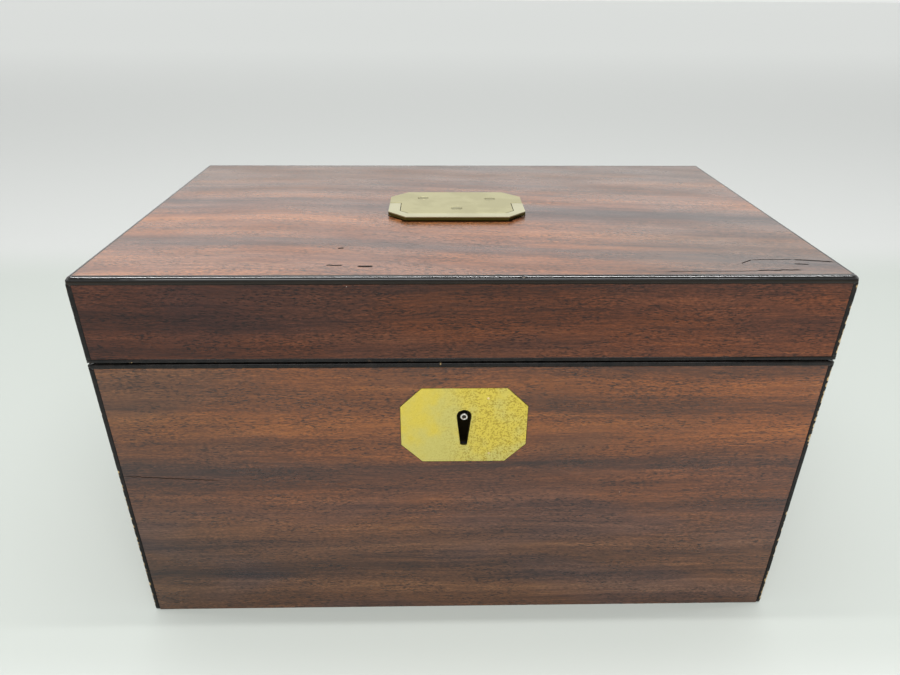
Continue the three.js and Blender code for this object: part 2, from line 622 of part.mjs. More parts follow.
// A lining of lead foil: a box open at the top.
function foilBox(side) {
  const near = PARTITION.x + PARTITION.thickness / 2 + GLUE;
  const far = INSIDE_X - LINING.ledge - GLUE;
  const { thickness: t, topZ } = FOIL;
  const [y, z] = [LEDGE_Y, FLOOR + GLUE];
  const outside = sideSlab(side, [near, far], [-y, z], [y, topZ]);
  return cut(outside, sideSlab(side, [near + t, far - t], [t - y, z + t], [y - t, topZ + 1]));
}

// The inner lid turns about a rod in its rounded back edge.
function innerLid(side) {
  const { thickness, axisY, axisZ, gap, rod: radius } = INNER_LID;
  const near = PARTITION.x + PARTITION.thickness / 2 + gap;
  const far = INSIDE_X - LINING.upstand - gap;
  const [low, high] = [axisZ - thickness / 2, axisZ + thickness / 2];
  const front = gap + LINING.upstand - INSIDE_Y;
  const board = joined([
    sideSlab(side, [near, far], [front, low], [axisY, high]),
    sideRod(side, thickness / 2, [near, far], [axisY, axisZ]),
  ]);
  const dowel = rod(KNOB.dowel + GLUE, "z", high - KNOB.depth - GLUE, high + 1, [side * KNOB_X, KNOB.y]);
  return cut(board, sideRod(side, radius + RUNNING, [near - 1, far + 1], [axisY, axisZ]), dowel);
}

// A turned bone knob, with its dowel below the lid's surface at height 0.
function knob() {
  const dowel = [[0, -KNOB.depth], [KNOB.dowel, -KNOB.depth], [KNOB.dowel, GLUE]];
  const base = [[4.3, GLUE], [4.6, 0.9], [3.9, 1.7]];
  const neck = [[2.1, 2.9], [1.9, 4.1], [2.5, 5.4]];
  const head = [[4.8, 6.9], [5.6, 8.8], [5.1, 10.7], [3.4, 12.3], [1.2, 13], [0, 13.1]];
  return turned([...dowel, ...base, ...neck, ...head]);
}

// The glass bowl for blending the teas hangs in the well board's hole by the flange under its lip.
// Heights are measured from the well board.
function glassBowl() {
  const outside = [[0, -63], [22, -63], [23, -61.5], [22.4, -58.5], [19, -56]];
  const belly = [[28, -53.5], [36, -48], [42, -39.5], [45.4, -28], [46.8, -14], [46.8, GLUE]];
  const lip = [[52, GLUE], [53, 1.6], [52, 3.6], [46.8, 4.2]];
  const inside = [[44.6, 1], [43.8, -13], [42.3, -27], [38.8, -38], [32, -46], [20, -50.5], [0, -51.5]];
  return turned([...outside, ...belly, ...lip, ...inside], FINE);
}

function fittedInside() {
  const wellX = PARTITION.x - PARTITION.thickness / 2 - GLUE;
  const hole = rod(WELL.holeRadius, "z", 0, HEIGHT, [0, 0], FINE);
  const well = cut(across(wellX, [-LEDGE_Y, WELL.topZ - WELL.thickness], [LEDGE_Y, WELL.topZ]), hole);
  const nodes = [
    node("lining_front", longLining(-1), mahogany),
    node("lining_back", longLining(1), mahogany),
    node("well_board", well, mahogany),
    node("glass_bowl", glassBowl(), glass, [0, 0, WELL.topZ]),
  ];
  const lidTop = INNER_LID.axisZ + INNER_LID.thickness / 2;
  for (const [where, side] of [["left", -1], ["right", 1]]) {
    const axis = [INNER_LID.axisY, INNER_LID.axisZ];
    nodes.push(
      node(`lining_${where}`, shortLining(side), mahogany),
      node(`partition_${where}`, partition(side), mahogany),
      node(`foil_lining_${where}`, foilBox(side), foil),
      node(`inner_lid_${where}`, innerLid(side), mahogany),
      node(`inner_lid_${where}_rod`, sideRod(side, INNER_LID.rod, ROD_ENDS, axis), brass),
      node(`inner_lid_${where}_knob`, knob(), bone, [side * KNOB_X, KNOB.y, lidTop]),
    );
  }
  return nodes;
}

// The pad in the lid, as the plain space that its velvet fills.
function lidPad() {
  const [x, y] = [HALF_X - LID_WALL - PAD.gap, HALF_Y - LID_WALL - PAD.gap];
  const top = LID_HEIGHT - SKIN - TOP_BOARD - PAD.gap;
  return node("lid_lining", across(x, [-y, PAD.bottom], [y, top]), velvet);
}

// ---- Assembly ----
const group = (position, nodes) => {
  const made = new THREE.Group();
  made.position.set(...position);
  made.add(...nodes);
  return made;
};

const lock = group([0, LOCK_FRONT_Y, LOCK_Z], lockPieces());
const base = group([0, 0, 0], [
  ...baseCarcase(), escutcheon(), ...hinges(-1), ...hingePins(), ...fittedInside(), lock,
]);
const handle = group([HANDLE.x, HANDLE.y, LID_HEIGHT], handlePieces());
const lid = group([0, 0, LID_Z], [...lidCarcase(), ...hinges(1), ...linkPieces(), lidPad(), handle]);

const tea_caddy = new THREE.Group();
tea_caddy.name = "tea_caddy";
tea_caddy.add(base, lid);

export default tea_caddy;
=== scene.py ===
import json
import math
import random

import bmesh
import bpy
from mathutils import Matrix, Vector, noise


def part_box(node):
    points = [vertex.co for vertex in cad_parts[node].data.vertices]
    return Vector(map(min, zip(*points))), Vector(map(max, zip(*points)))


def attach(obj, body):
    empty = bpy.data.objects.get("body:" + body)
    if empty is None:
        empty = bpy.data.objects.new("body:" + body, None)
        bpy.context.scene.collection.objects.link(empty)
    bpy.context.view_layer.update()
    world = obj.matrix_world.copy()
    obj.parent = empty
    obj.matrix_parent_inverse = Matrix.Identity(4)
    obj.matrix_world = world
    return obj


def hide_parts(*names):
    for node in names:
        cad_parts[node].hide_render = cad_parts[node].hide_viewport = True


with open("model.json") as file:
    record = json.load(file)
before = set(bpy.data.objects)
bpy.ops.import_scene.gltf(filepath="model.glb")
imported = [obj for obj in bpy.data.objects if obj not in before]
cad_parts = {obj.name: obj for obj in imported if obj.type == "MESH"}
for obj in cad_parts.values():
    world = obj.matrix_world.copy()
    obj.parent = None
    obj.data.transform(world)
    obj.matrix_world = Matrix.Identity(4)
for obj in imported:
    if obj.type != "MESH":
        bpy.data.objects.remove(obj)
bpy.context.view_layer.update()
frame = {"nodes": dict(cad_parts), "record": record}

MM = 0.001
NOTHING = 1e-9  # metres
SEED = 1830


# ---- The caddy's main places, from the frame ----
def corners(node):
    """The node's lowest and highest corners at rest, in metres."""
    return [Vector(corner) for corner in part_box(node)]


LID_LOW, LID_HIGH = corners("lid_edge_stringing")
BASE_LOW, BASE_HIGH = corners("base_edge_stringing")
FRONT_Y = LID_LOW.y
BACK_Y = LID_HIGH.y
TOP_Z = LID_HIGH.z
HALF_X = LID_HIGH.x

# ---- The strings ----
STRING_DEPTH = 2.2 * MM  # how far each string runs in from the face
RIM_HEIGHT = 1.8 * MM  # of the strings on each side of the seam
TOP_HEIGHT = 3.0 * MM  # of the string round the lid's top
TOP_RADIUS = 2.0 * MM  # rounding of the arris there
GROOVE_DROP = 1.38 * MM  # of the fine joint below the rounded arris
GROOVE_DEPTH = 0.22 * MM
GROOVE_HALF_WIDTH = 0.1 * MM
CORNER_RADIUS = 0.7 * MM
SEAM_RADIUS = 0.55 * MM
RADIUS_CHANGE = 4 * MM  # the height over which one rounding turns into the next
UNEVENNESS = 0.07 * MM  # of the rounding, from years of handling
SHARPEST = 0.25 * MM
STRING_STEP = 1.0 * MM  # between the rings of vertices along a string
WEAR_SHOWN = 3.0  # how much paler than deep the worn places look
SECTION_CUTS = (1.0, 0.72, 0.52, 0.46, 0.4, 0.3, 0.2, 0.1, 0.0)  # across each outer face of a string
MORTISE_GAP = 0.1 * MM
LEAF_THICKNESS = 1.2 * MM  # of the hinges

# ---- Places that the materials mark, in plain millimetres ----
HANDLE_CUT_CORNER = 8.0
HANDLE_LOW, HANDLE_HIGH = (corner / MM for corner in corners("handle_bail"))
HANDLE_X = (HANDLE_LOW.x + HANDLE_HIGH.x) / 2
HANDLE_HALF_X = (HANDLE_HIGH.x - HANDLE_LOW.x) / 2 - HANDLE_CUT_CORNER
HANDLE_FRONT = HANDLE_LOW.y
DRILL_PIN_Z = sum(corner[2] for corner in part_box("lock_drill_pin")) / 2 / MM
PLATE_EDGE_Z = TOP_Z / MM + 1.95  # below this the handle's plate is darkened: tarnish, with painted shade under its edge
# Below this the bail's front side is darkened: painted shade in the gap under it, with tarnish.
BAIL_EDGE_Z = TOP_Z / MM + 1.85
SEAM_Z = (BASE_HIGH.z + LID_LOW.z) / 2 / MM


# ---- Node trees ----
class Graph:
    """A material's node tree. Its methods add nodes and return their output sockets."""

    def __init__(self, name):
        self.material = bpy.data.materials.new(name)
        self.material.use_nodes = True
        self.tree = self.material.node_tree
        self.tree.nodes.clear()

    def node(self, kind, inputs=None, **settings):
        made = self.tree.nodes.new("ShaderNode" + kind)
        for key, value in settings.items():
            setattr(made, key, value)
        for key, value in (inputs or {}).items():
            self.fill(made.inputs[key], value)
        return made

    def fill(self, socket, value):
        if isinstance(value, bpy.types.NodeSocket):
            self.tree.links.new(value, socket)
        elif socket.type == "RGBA" and len(value) == 3:
            socket.default_value = (*value, 1.0)
        else:
            socket.default_value = value

    def math(self, operation, first, second=0.0, clamp=False):
        return self.node("Math", {0: first, 1: second}, operation=operation, use_clamp=clamp).outputs[0]

    def minus(self, first, second):
        return self.math("SUBTRACT", first, second)

    def times(self, first, second):
        return self.math("MULTIPLY", first, second)

    def combine(self, x, y, z=0.0):
        return self.node("CombineXYZ", {0: x, 1: y, 2: z}).outputs[0]

    def noise(self, vector, scale=1.0, detail=2.0, roughness=0.5):
        inputs = {"Vector": vector, "Scale": scale, "Detail": detail, "Roughness": roughness}
        return self.node("TexNoise", inputs).outputs["Fac"]

    def spots(self, vector, scale, feature="F1"):
        made = self.node("TexVoronoi", {"Vector": vector, "Scale": scale}, feature=feature)
        return made.outputs["Distance"], made.outputs["Color"]

    def step(self, value, low, high, to=(0.0, 1.0)):
        """value read as 0 at low and 1 at high, smoothly."""
        inputs = {"Value": value, "From Min": low, "From Max": high, "To Min": to[0], "To Max": to[1]}
        return self.node("MapRange", inputs, interpolation_type="SMOOTHSTEP").outputs[0]

    def ramp(self, value, stops):
        made = self.node("ValToRGB", {"Fac": value})
        elements = made.color_ramp.elements
        while len(elements) < len(stops):
            elements.new(0.5)
        for element, (place, colour) in zip(elements, stops):
            element.position = place
            element.color = (*colour, 1.0) if isinstance(colour, tuple) else (colour,) * 3 + (1.0,)
        return made.outputs[0]

    def mix(self, share, first, second, blend="MIX"):
        made = self.node("Mix", {0: share, 6: first, 7: second}, data_type="RGBA", blend_type=blend)
        return made.outputs[2]

    def tinted(self, share, colour, tint):
        """colour multiplied by tint where share is 1."""
        return self.mix(share, colour, self.mix(1.0, colour, tint, "MULTIPLY"))

    def place(self):
        """The piece's own coordinates, in millimetres."""
        where = self.node("TexCoord").outputs["Object"]
        return self.node("VectorMath", {0: where, "Scale": 1 / MM}, operation="SCALE").outputs[0]

    def axes(self):
        parts = self.node("SeparateXYZ", {0: self.place()})
        return {"x": parts.outputs[0], "y": parts.outputs[1], "z": parts.outputs[2]}

    def bump(self, height, distance, strength=1.0):
        inputs = {"Height": height, "Distance": distance, "Strength": strength}
        return self.node("Bump", inputs).outputs[0]

    def surface(self, **inputs):
        shader = self.node("BsdfPrincipled", {k.replace("_", " "): v for k, v in inputs.items()})
        self.node("OutputMaterial", {"Surface": shader.outputs[0]})
        return self.material


# ---- Wood ----
def wood(
    name, grain, across, palette, figure, seed,
    shine=0.3, pore_depth=0.8, flecks=1.0, dust=True, polish=0.5, cracks=(), recolour=None, lean=None,
):
    """Wood with its grain along one axis. figure is the tone of the broad bands, as (place in mm along the
    across axis, tone from 0 dark to 1 bright). shine is the polish's roughness, and polish how strongly it
    reflects. cracks are (start, end, width), in mm along and across the grain. A function passed to recolour
    it takes the graph, the axes and the colour, and colours the wood further, in places with painted shade or
    a painted reflection. lean is where along the grain it begins to bend away, and by how much."""
    g = Graph(name)
    axes = g.axes()
    along, across_place = axes[grain], axes[across]
    side = across_place
    if lean:
        past = g.math("MAXIMUM", g.minus(along, lean[0]), 0.0)
        side = g.math("ADD", across_place, g.times(past, lean[1]))

    def grained(length, width, offset, detail=2.0, where=None):
        lengthwise = g.math("DIVIDE", along, length)
        sideways = g.math("DIVIDE", where or side, width)
        return g.noise(g.combine(lengthwise, sideways, seed + offset), detail=detail)

    def swing(value, amount):
        """A noise value read as a swing either way from nothing."""
        return g.times(g.minus(value, 0.5), amount)

    wander = g.math("ADD", swing(grained(130, 55, 0.1), 11.0), swing(grained(18, 8, 0.3), 1.2))
    wavy = g.math("ADD", side, wander)
    low, high = figure[0][0], figure[-1][0]
    share = g.math("DIVIDE", g.minus(wavy, low), high - low, clamp=True)
    broad = g.ramp(share, [((place - low) / (high - low), tone) for place, tone in figure])
    bands = grained(230, 9.0, 1.7, 2.0, wavy)
    streaks = grained(60, 1.8, 2.9, 2.0, wavy)
    threads = grained(9, 0.6, 4.1, 2.0, wavy)
    tone = g.math("ADD", g.times(broad, 0.55), 0.2)
    for part, weight in ((bands, 0.55), (streaks, 0.34), (threads, 0.4)):
        tone = g.math("ADD", tone, swing(part, weight))
    colour = g.ramp(tone, palette)

    cool = g.math("MAXIMUM", g.step(grained(85, 30, 12.1), 0.42, 0.64), g.step(broad, 0.42, 0.25))
    colour = g.tinted(cool, colour, (0.82, 0.95, 1.4))
    mottled = g.step(grained(24, 12, 13.3), 0.36, 0.6, (0.45, 1.0))
    fleck = swing(grained(1.8, 0.55, 14.9, 2.0, wavy), g.times(mottled, 2.3 * flecks))
    fleck = g.math("MAXIMUM", g.math("ADD", fleck, 1.0), 0.25)
    colour = g.mix(1.0, colour, g.combine(fleck, fleck, fleck), "MULTIPLY")
    pores = g.step(grained(2.2, 0.42, 5.3, 1.0, wavy), 0.55, 0.63)
    crowd = g.step(grained(34, 9, 6.1, 2.0, wavy), 0.36, 0.56, (0.2, 1.0))
    pores = g.times(pores, crowd)
    colour = g.mix(g.times(pores, pore_depth), colour, (0.006, 0.004, 0.004))
    if recolour:
        colour = recolour(g, axes, colour)
    cracked = 0.0
    for start, end, width in cracks:
        cracked = g.math("MAXIMUM", cracked, crack(g, along, across_place, start, end, width))
    colour = g.mix(cracked, colour, (0.012, 0.007, 0.005))
    gloss = g.times(g.minus(1.0, cracked), polish)
    if dust:
        distance, tint = g.spots(g.place(), 0.11)
        rare = g.math("GREATER_THAN", g.node("SeparateColor", {0: tint}).outputs[0], 0.8)
        speck = g.times(g.step(distance, 0.022, 0.01), rare)
        colour = g.mix(g.times(speck, 0.7), colour, (0.5, 0.45, 0.4))

    height = g.minus(g.times(streaks, 0.25), g.times(pores, 0.5))
    height = g.math("ADD", height, g.times(grained(38, 22, 8.9), 2.0))
    rough = g.step(grained(55, 14, 9.7), 0.3, 0.75, (shine - 0.04, shine + 0.07))
    normal = g.bump(height, 0.06 * MM, 0.5)
    return g.surface(Base_Color=colour, Roughness=rough, IOR=1.5, Specular_IOR_Level=gloss, Normal=normal)


CRACK_WAVE_LENGTH = 3.5  # millimetres
CRACK_WAVE_WIDTH = 1.2


def crack(g, along, side, start, end, width):
    """Where a wavering crack runs from start to end: 1 in its middle, 0 away from it."""
    share = g.math("DIVIDE", g.minus(along, start[0]), end[0] - start[0])
    line = g.math("ADD", g.times(share, end[1] - start[1]), start[1])
    waver = g.noise(g.combine(g.math("DIVIDE", along, CRACK_WAVE_LENGTH), start[0]), detail=2.0)
    waver = g.times(g.minus(waver, 0.5), CRACK_WAVE_WIDTH)
    off = g.math("ABSOLUTE", g.math("ADD", g.minus(side, line), waver))
    ends = g.times(g.step(share, -0.02, 0.12), g.step(share, 1.02, 0.88))
    return g.times(g.step(off, width, 0.3 * width), ends)


# Tints that fade in along an axis of a face: (axis, where it begins, where it is full, tint), in millimetres.
BASE_FRONT_TINTS = [
    ("z", 60.0, 110.0, (1.06, 0.98, 0.62)),  # warmer above the middle
    ("z", 84.0, 34.0, (0.84, 1.08, 1.35)),  # greyer towards the foot: a painted reflection, the paler sheen low on the front
    ("x", 20.0, 140.0, (1.22, 1.17, 1.12)),  # brighter to the right
    ("x", -70.0, -145.0, (0.78, 0.84, 0.9)),  # duller at the left end
]
LID_FRONT_TONE = (0.73, 0.625, 0.505)
LID_FRONT_TINTS = [
    ("x", 0.0, 110.0, (1.33, 1.29, 1.26)),  # brighter to the right
    ("x", -20.0, -125.0, (0.66, 0.68, 0.96)),  # dark and purplish at the left end
]
LID_TOP_TINTS = [("y", -5.0, 75.0, (0.58, 0.64, 0.66))]  # duller towards the back
LID_TOP_CORNER_TINT = (0.6, 0.7, 0.78)
# Grime with painted shade on the lid's top, along the handle's front edge.
GRIME_AND_SHADE_TINT = (0.12, 0.11, 0.1)
GRIME_AND_SHADE_REACH = (2.2, 0.2)  # from clean to grimy and shaded, in millimetres from the handle's front edge


def faded(g, axes, colour, tints):
    """colour under each tint in turn."""
    for axis, begins, full, tint in tints:
        colour = g.tinted(g.step(axes[axis], begins, full), colour, tint)
    return colour


def carcase_stain_and_shade(g, axes, colour):
    """Pine is stained to match the veneer where its edges show at the seam, and painted near black about the
    keyhole: painted shade inside it.
    """
    from_seam = g.math("ABSOLUTE", g.minus(axes["z"], SEAM_Z))
    colour = g.mix(g.step(from_seam, 5.0, 2.0), colour, (0.075, 0.028, 0.014))
    # Painted shade: the pine's sides of the keyhole are coloured near black.
    beside = g.step(g.math("ABSOLUTE", axes["x"]), 9.0, 6.0)
    keyhole = g.times(beside, g.step(axes["y"], -80.0, -84.0))
    return g.mix(keyhole, colour, (0.004, 0.003, 0.003))


# The base front's tints; the grey towards its foot is a painted reflection.
def base_front_stain_and_reflection(g, axes, colour):
    return faded(g, axes, colour, BASE_FRONT_TINTS)


def lid_front_stain(g, axes, colour):
    return faded(g, axes, g.mix(1.0, colour, LID_FRONT_TONE, "MULTIPLY"), LID_FRONT_TINTS)


def lid_top_stain_and_shade(g, axes, colour):
    """The lid's top is duller towards the back and at its front right corner, and darker along the handle's
    front edge: grime there, with painted shade."""
    colour = faded(g, axes, colour, LID_TOP_TINTS)
    corner = g.times(g.step(axes["x"], 20.0, 110.0), g.step(axes["y"], 25.0, -60.0))
    colour = g.tinted(corner, colour, LID_TOP_CORNER_TINT)
    # Painted shade, with grime: darker along the handle's front edge.
    beside = g.minus(g.math("ABSOLUTE", g.minus(axes["x"], HANDLE_X)), HANDLE_HALF_X)
    before = g.math("ABSOLUTE", g.minus(HANDLE_FRONT, axes["y"]))
    grime_and_shade = g.step(g.math("MAXIMUM", beside, before), *GRIME_AND_SHADE_REACH)
    return g.tinted(grime_and_shade, colour, GRIME_AND_SHADE_TINT)


# Cracks and dents: (start, end, width), in millimetres along and across the grain.
FRONT_CRACKS = [((-150, 83.4), (-106, 80.5), 0.3)]
TOP_CRACKS = [
    ((110, -77), (116, -73), 0.7), ((115, -73), (134, -72.6), 0.6), ((132, -72.6), (149, -75.6), 1.1),
    ((131, -77.5), (137, -78.3), 0.9), ((-55, -78.2), (-48, -78.3), 0.9), ((-42.5, -79.4), (-36, -79.4), 1.4),
    ((-52.5, -59.2), (-50, -58.6), 1.2), ((75, -85.5), (116, -85), 0.5), ((112, -84.5), (132, -84), 0.9),
]
MAHOGANY = [
    (0.1, (0.016, 0.0080, 0.0060)),
    (0.32, (0.052, 0.0180, 0.0085)),
    (0.5, (0.115, 0.0385, 0.0145)),
    (0.68, (0.188, 0.0680, 0.0235)),
    (0.92, (0.310, 0.1200, 0.0430)),
]
# The front's tones for the lid's top, where the sun has bleached it.
TOP_MAHOGANY = [(place, tuple(1.6 * part for part in colour)) for place, colour in MAHOGANY]
INSIDE_PALETTE = [
    (0.12, (0.030, 0.012, 0.007)),
    (0.4, (0.085, 0.032, 0.015)),
    (0.65, (0.160, 0.062, 0.026)),
    (0.9, (0.240, 0.105, 0.045)),
]
PINE_PALETTE = [
    (0.12, (0.20, 0.115, 0.045)),
    (0.45, (0.36, 0.225, 0.10)),
    (0.7, (0.46, 0.30, 0.14)),
    (0.9, (0.55, 0.38, 0.19)),
]
# The broad bands of each veneer: (place across the grain in millimetres, tone from 0 dark to 1 bright).
BASE_FIGURE = [
    (0, 0.47), (18, 0.48), (30, 0.39), (44, 0.36), (53, 0.48), (62, 0.33), (70, 0.47), (80, 0.37), (88, 0.26),
    (97, 0.5), (104, 0.68), (112, 0.66), (118, 0.44), (126, 0.56), (133, 0.5), (140, 0.3),
]
# The lid front's bands carry painted shade as well: they darken towards its top edge, where the light is
# weaker.
LID_FIGURE_AND_SHADE = [(138, 0.42), (148, 0.5), (156, 0.42), (164, 0.36), (170, 0.4), (177, 0.32)]
TOP_FIGURE = [
    (-90, 0.5), (-74, 0.62), (-62, 0.57), (-52, 0.36), (-45, 0.3), (-38, 0.52), (-22, 0.64), (-10, 0.5),
    (0, 0.28), (14, 0.26), (24, 0.48), (42, 0.52), (60, 0.42), (76, 0.52), (90, 0.45), (115, 0.5),
]
EVEN_FIGURE = [(-200, 0.5), (-60, 0.35), (0, 0.62), (60, 0.4), (100, 0.62), (200, 0.45)]


# ---- Other materials ----
def ebony():
    """Polished black stringing. Where the wear attribute is high, the pine under it shows."""
    g = Graph("ebony")
    place = g.place()
    wear = g.node("Attribute", attribute_name="wear").outputs["Fac"]
    ragged = g.math("ADD", wear, g.times(g.minus(g.noise(place, 0.9, 3.0), 0.5), 0.8))
    bare = g.step(ragged, 0.62, 0.72)
    scuffed = g.step(ragged, 0.3, 0.6)
    black = g.ramp(g.noise(place, 0.3, 4.0), [(0.35, (0.002, 0.002, 0.002)), (0.7, (0.009, 0.007, 0.006))])
    scuff = g.mix(g.times(scuffed, 0.55), black, (0.07, 0.045, 0.025))
    pine = g.ramp(g.noise(place, 1.4, 3.0), [(0.3, (0.16, 0.10, 0.04)), (0.75, (0.50, 0.37, 0.18))])
    drop = g.minus((TOP_Z - GROOVE_DROP) / MM, g.axes()["z"])
    # Painted shade: the groove of the fine joint is coloured near black and made rough.
    groove = g.step(g.math("ABSOLUTE", drop), 0.26, 0.1)
    below = g.times(g.step(drop, 0.1, 0.3), g.step(drop, 2.0, 1.6))
    brown = g.mix(g.times(below, 0.6), g.mix(bare, scuff, pine), (0.014, 0.010, 0.006))
    rough = g.step(ragged, 0.3, 0.6, (0.1, 0.75))
    rough = g.math("MAXIMUM", rough, g.times(groove, 0.9))
    height = g.noise(place, 0.9, 4.0)
    return g.surface(
        Base_Color=g.mix(groove, brown, (0.001, 0.001, 0.001)), Roughness=rough, IOR=1.5,
        Specular_IOR_Level=g.step(drop, -0.2, 0.4, (0.5, 0.16)),
        Normal=g.bump(height, 0.008 * MM, 0.5),
    )


def brass(name, bright, dull, dark, pitting, rough, mottling=0.0, edge=None):
    """Old unlacquered brass: soft clouds of duller metal, short dark strokes and small pits that crowd
    towards the right, and fine scratches. edge is (height, colour): below it the sides take that colour,
    tarnish with painted shade."""
    g = Graph(name)
    place = g.place()
    axes = g.axes()
    clouds = g.step(g.noise(place, 0.07, 3.0, 0.55), 0.36, 0.64)
    colour = g.mix(clouds, bright, dull)
    right = g.step(axes["x"], -14.0, 8.0, (0.12, 1.0))
    crowd = g.times(right, g.step(g.noise(place, 0.11, 2.0), 0.26, 0.46))
    strokes = g.step(g.noise(place, 1.25, 2.5, 0.6), 0.49, 0.6)
    strokes = g.times(g.times(strokes, crowd), mottling)
    colour = g.mix(strokes, colour, dark)
    colour = g.mix(g.step(g.noise(place, 2.4, 2.0, 0.7), 0.35, 0.75, (0.0, 0.22)), colour, dark)
    distance, tint = g.spots(place, 0.34)
    size = g.node("SeparateColor", {0: tint}).outputs[1]
    spot = g.step(g.minus(g.times(size, 0.26), distance), 0.0, 0.1)
    spot = g.times(g.times(spot, crowd), pitting)
    colour = g.mix(spot, colour, dark)
    # Painted shade with tarnish: below the edge height the sides darken, for the gap under the handle.
    if edge:
        height_of, tarnish_and_shade = edge
        colour = g.mix(g.step(axes["z"], height_of, height_of - 0.2), colour, tarnish_and_shade)
    scratch_place = g.combine(
        g.math("DIVIDE", axes["x"], 9.0), g.math("DIVIDE", axes["z"], 0.2), g.math("DIVIDE", axes["y"], 0.2)
    )
    scratches = g.noise(scratch_place, 1.0, 1.0)
    eaten = g.math("ADD", spot, g.times(strokes, 0.6))
    height = g.minus(g.times(scratches, 0.3), eaten)
    roughness = g.step(clouds, 0.0, 1.0, (rough, rough + 0.08))
    return g.surface(
        Base_Color=colour, Metallic=1.0, Roughness=roughness, Normal=g.bump(height, 0.03 * MM, 0.5)
    )


def steel():
    """Steel with a little rust, and black in the bore of the lock's drill pin."""
    g = Graph("steel")
    place = g.place()
    rust = g.step(g.noise(place, 0.9, 3.0), 0.5, 0.7)
    colour = g.mix(g.times(rust, 0.6), (0.5, 0.48, 0.45), (0.22, 0.13, 0.07))
    axes = g.axes()
    from_middle = g.combine(axes["x"], g.minus(axes["z"], DRILL_PIN_Z))
    away = g.node("VectorMath", {0: from_middle}, operation="LENGTH").outputs["Value"]
    colour = g.mix(g.step(away, 0.95, 0.75), colour, (0.03, 0.018, 0.01))
    return g.surface(Base_Color=colour, Metallic=1.0, Roughness=g.step(rust, 0.0, 1.0, (0.28, 0.6)))


def lead_foil():
    g = Graph("lead_foil")
    place = g.place()
    creases = g.noise(place, 0.12, 5.0, 0.6)
    recolour = g.noise(place, 0.05, 3.0)
    colour = g.ramp(recolour, [(0.3, (0.26, 0.255, 0.24)), (0.7, (0.45, 0.45, 0.44))])
    return g.surface(
        Base_Color=colour, Metallic=1.0, Roughness=0.48, Normal=g.bump(creases, 1.6 * MM, 0.5)
    )


def bone():
    g = Graph("bone")
    axes = g.axes()
    rings = g.combine(axes["x"], axes["y"], g.times(axes["z"], 3.0))
    colour = g.ramp(g.noise(rings, 0.5, 3.0), [(0.3, (0.52, 0.43, 0.27)), (0.7, (0.75, 0.68, 0.5))])
    return g.surface(Base_Color=colour, Roughness=0.32, IOR=1.54)


def glass():
    g = Graph("glass")
    ripple = g.noise(g.place(), 0.05, 2.0)
    return g.surface(
        Base_Color=(0.95, 0.98, 0.97), Roughness=0.03, IOR=1.5, Transmission_Weight=1.0,
        Normal=g.bump(ripple, 0.4 * MM, 0.3),
    )


def velvet():
    g = Graph("velvet")
    place = g.place()
    nap = g.noise(place, 2.6, 2.0)
    brushed = g.noise(place, 0.035, 4.0, 0.6)
    colour = g.ramp(brushed, [(0.3, (0.075, 0.006, 0.012)), (0.7, (0.17, 0.014, 0.025))])
    colour = g.mix(g.step(nap, 0.4, 0.7, (0.0, 0.5)), colour, (0.04, 0.003, 0.006))
    return g.surface(
        Base_Color=colour, Roughness=0.95, Sheen_Weight=0.7, Sheen_Roughness=0.4,
        Sheen_Tint=(0.6, 0.12, 0.14, 1.0), Normal=g.bump(nap, 0.15 * MM, 0.7),
    )


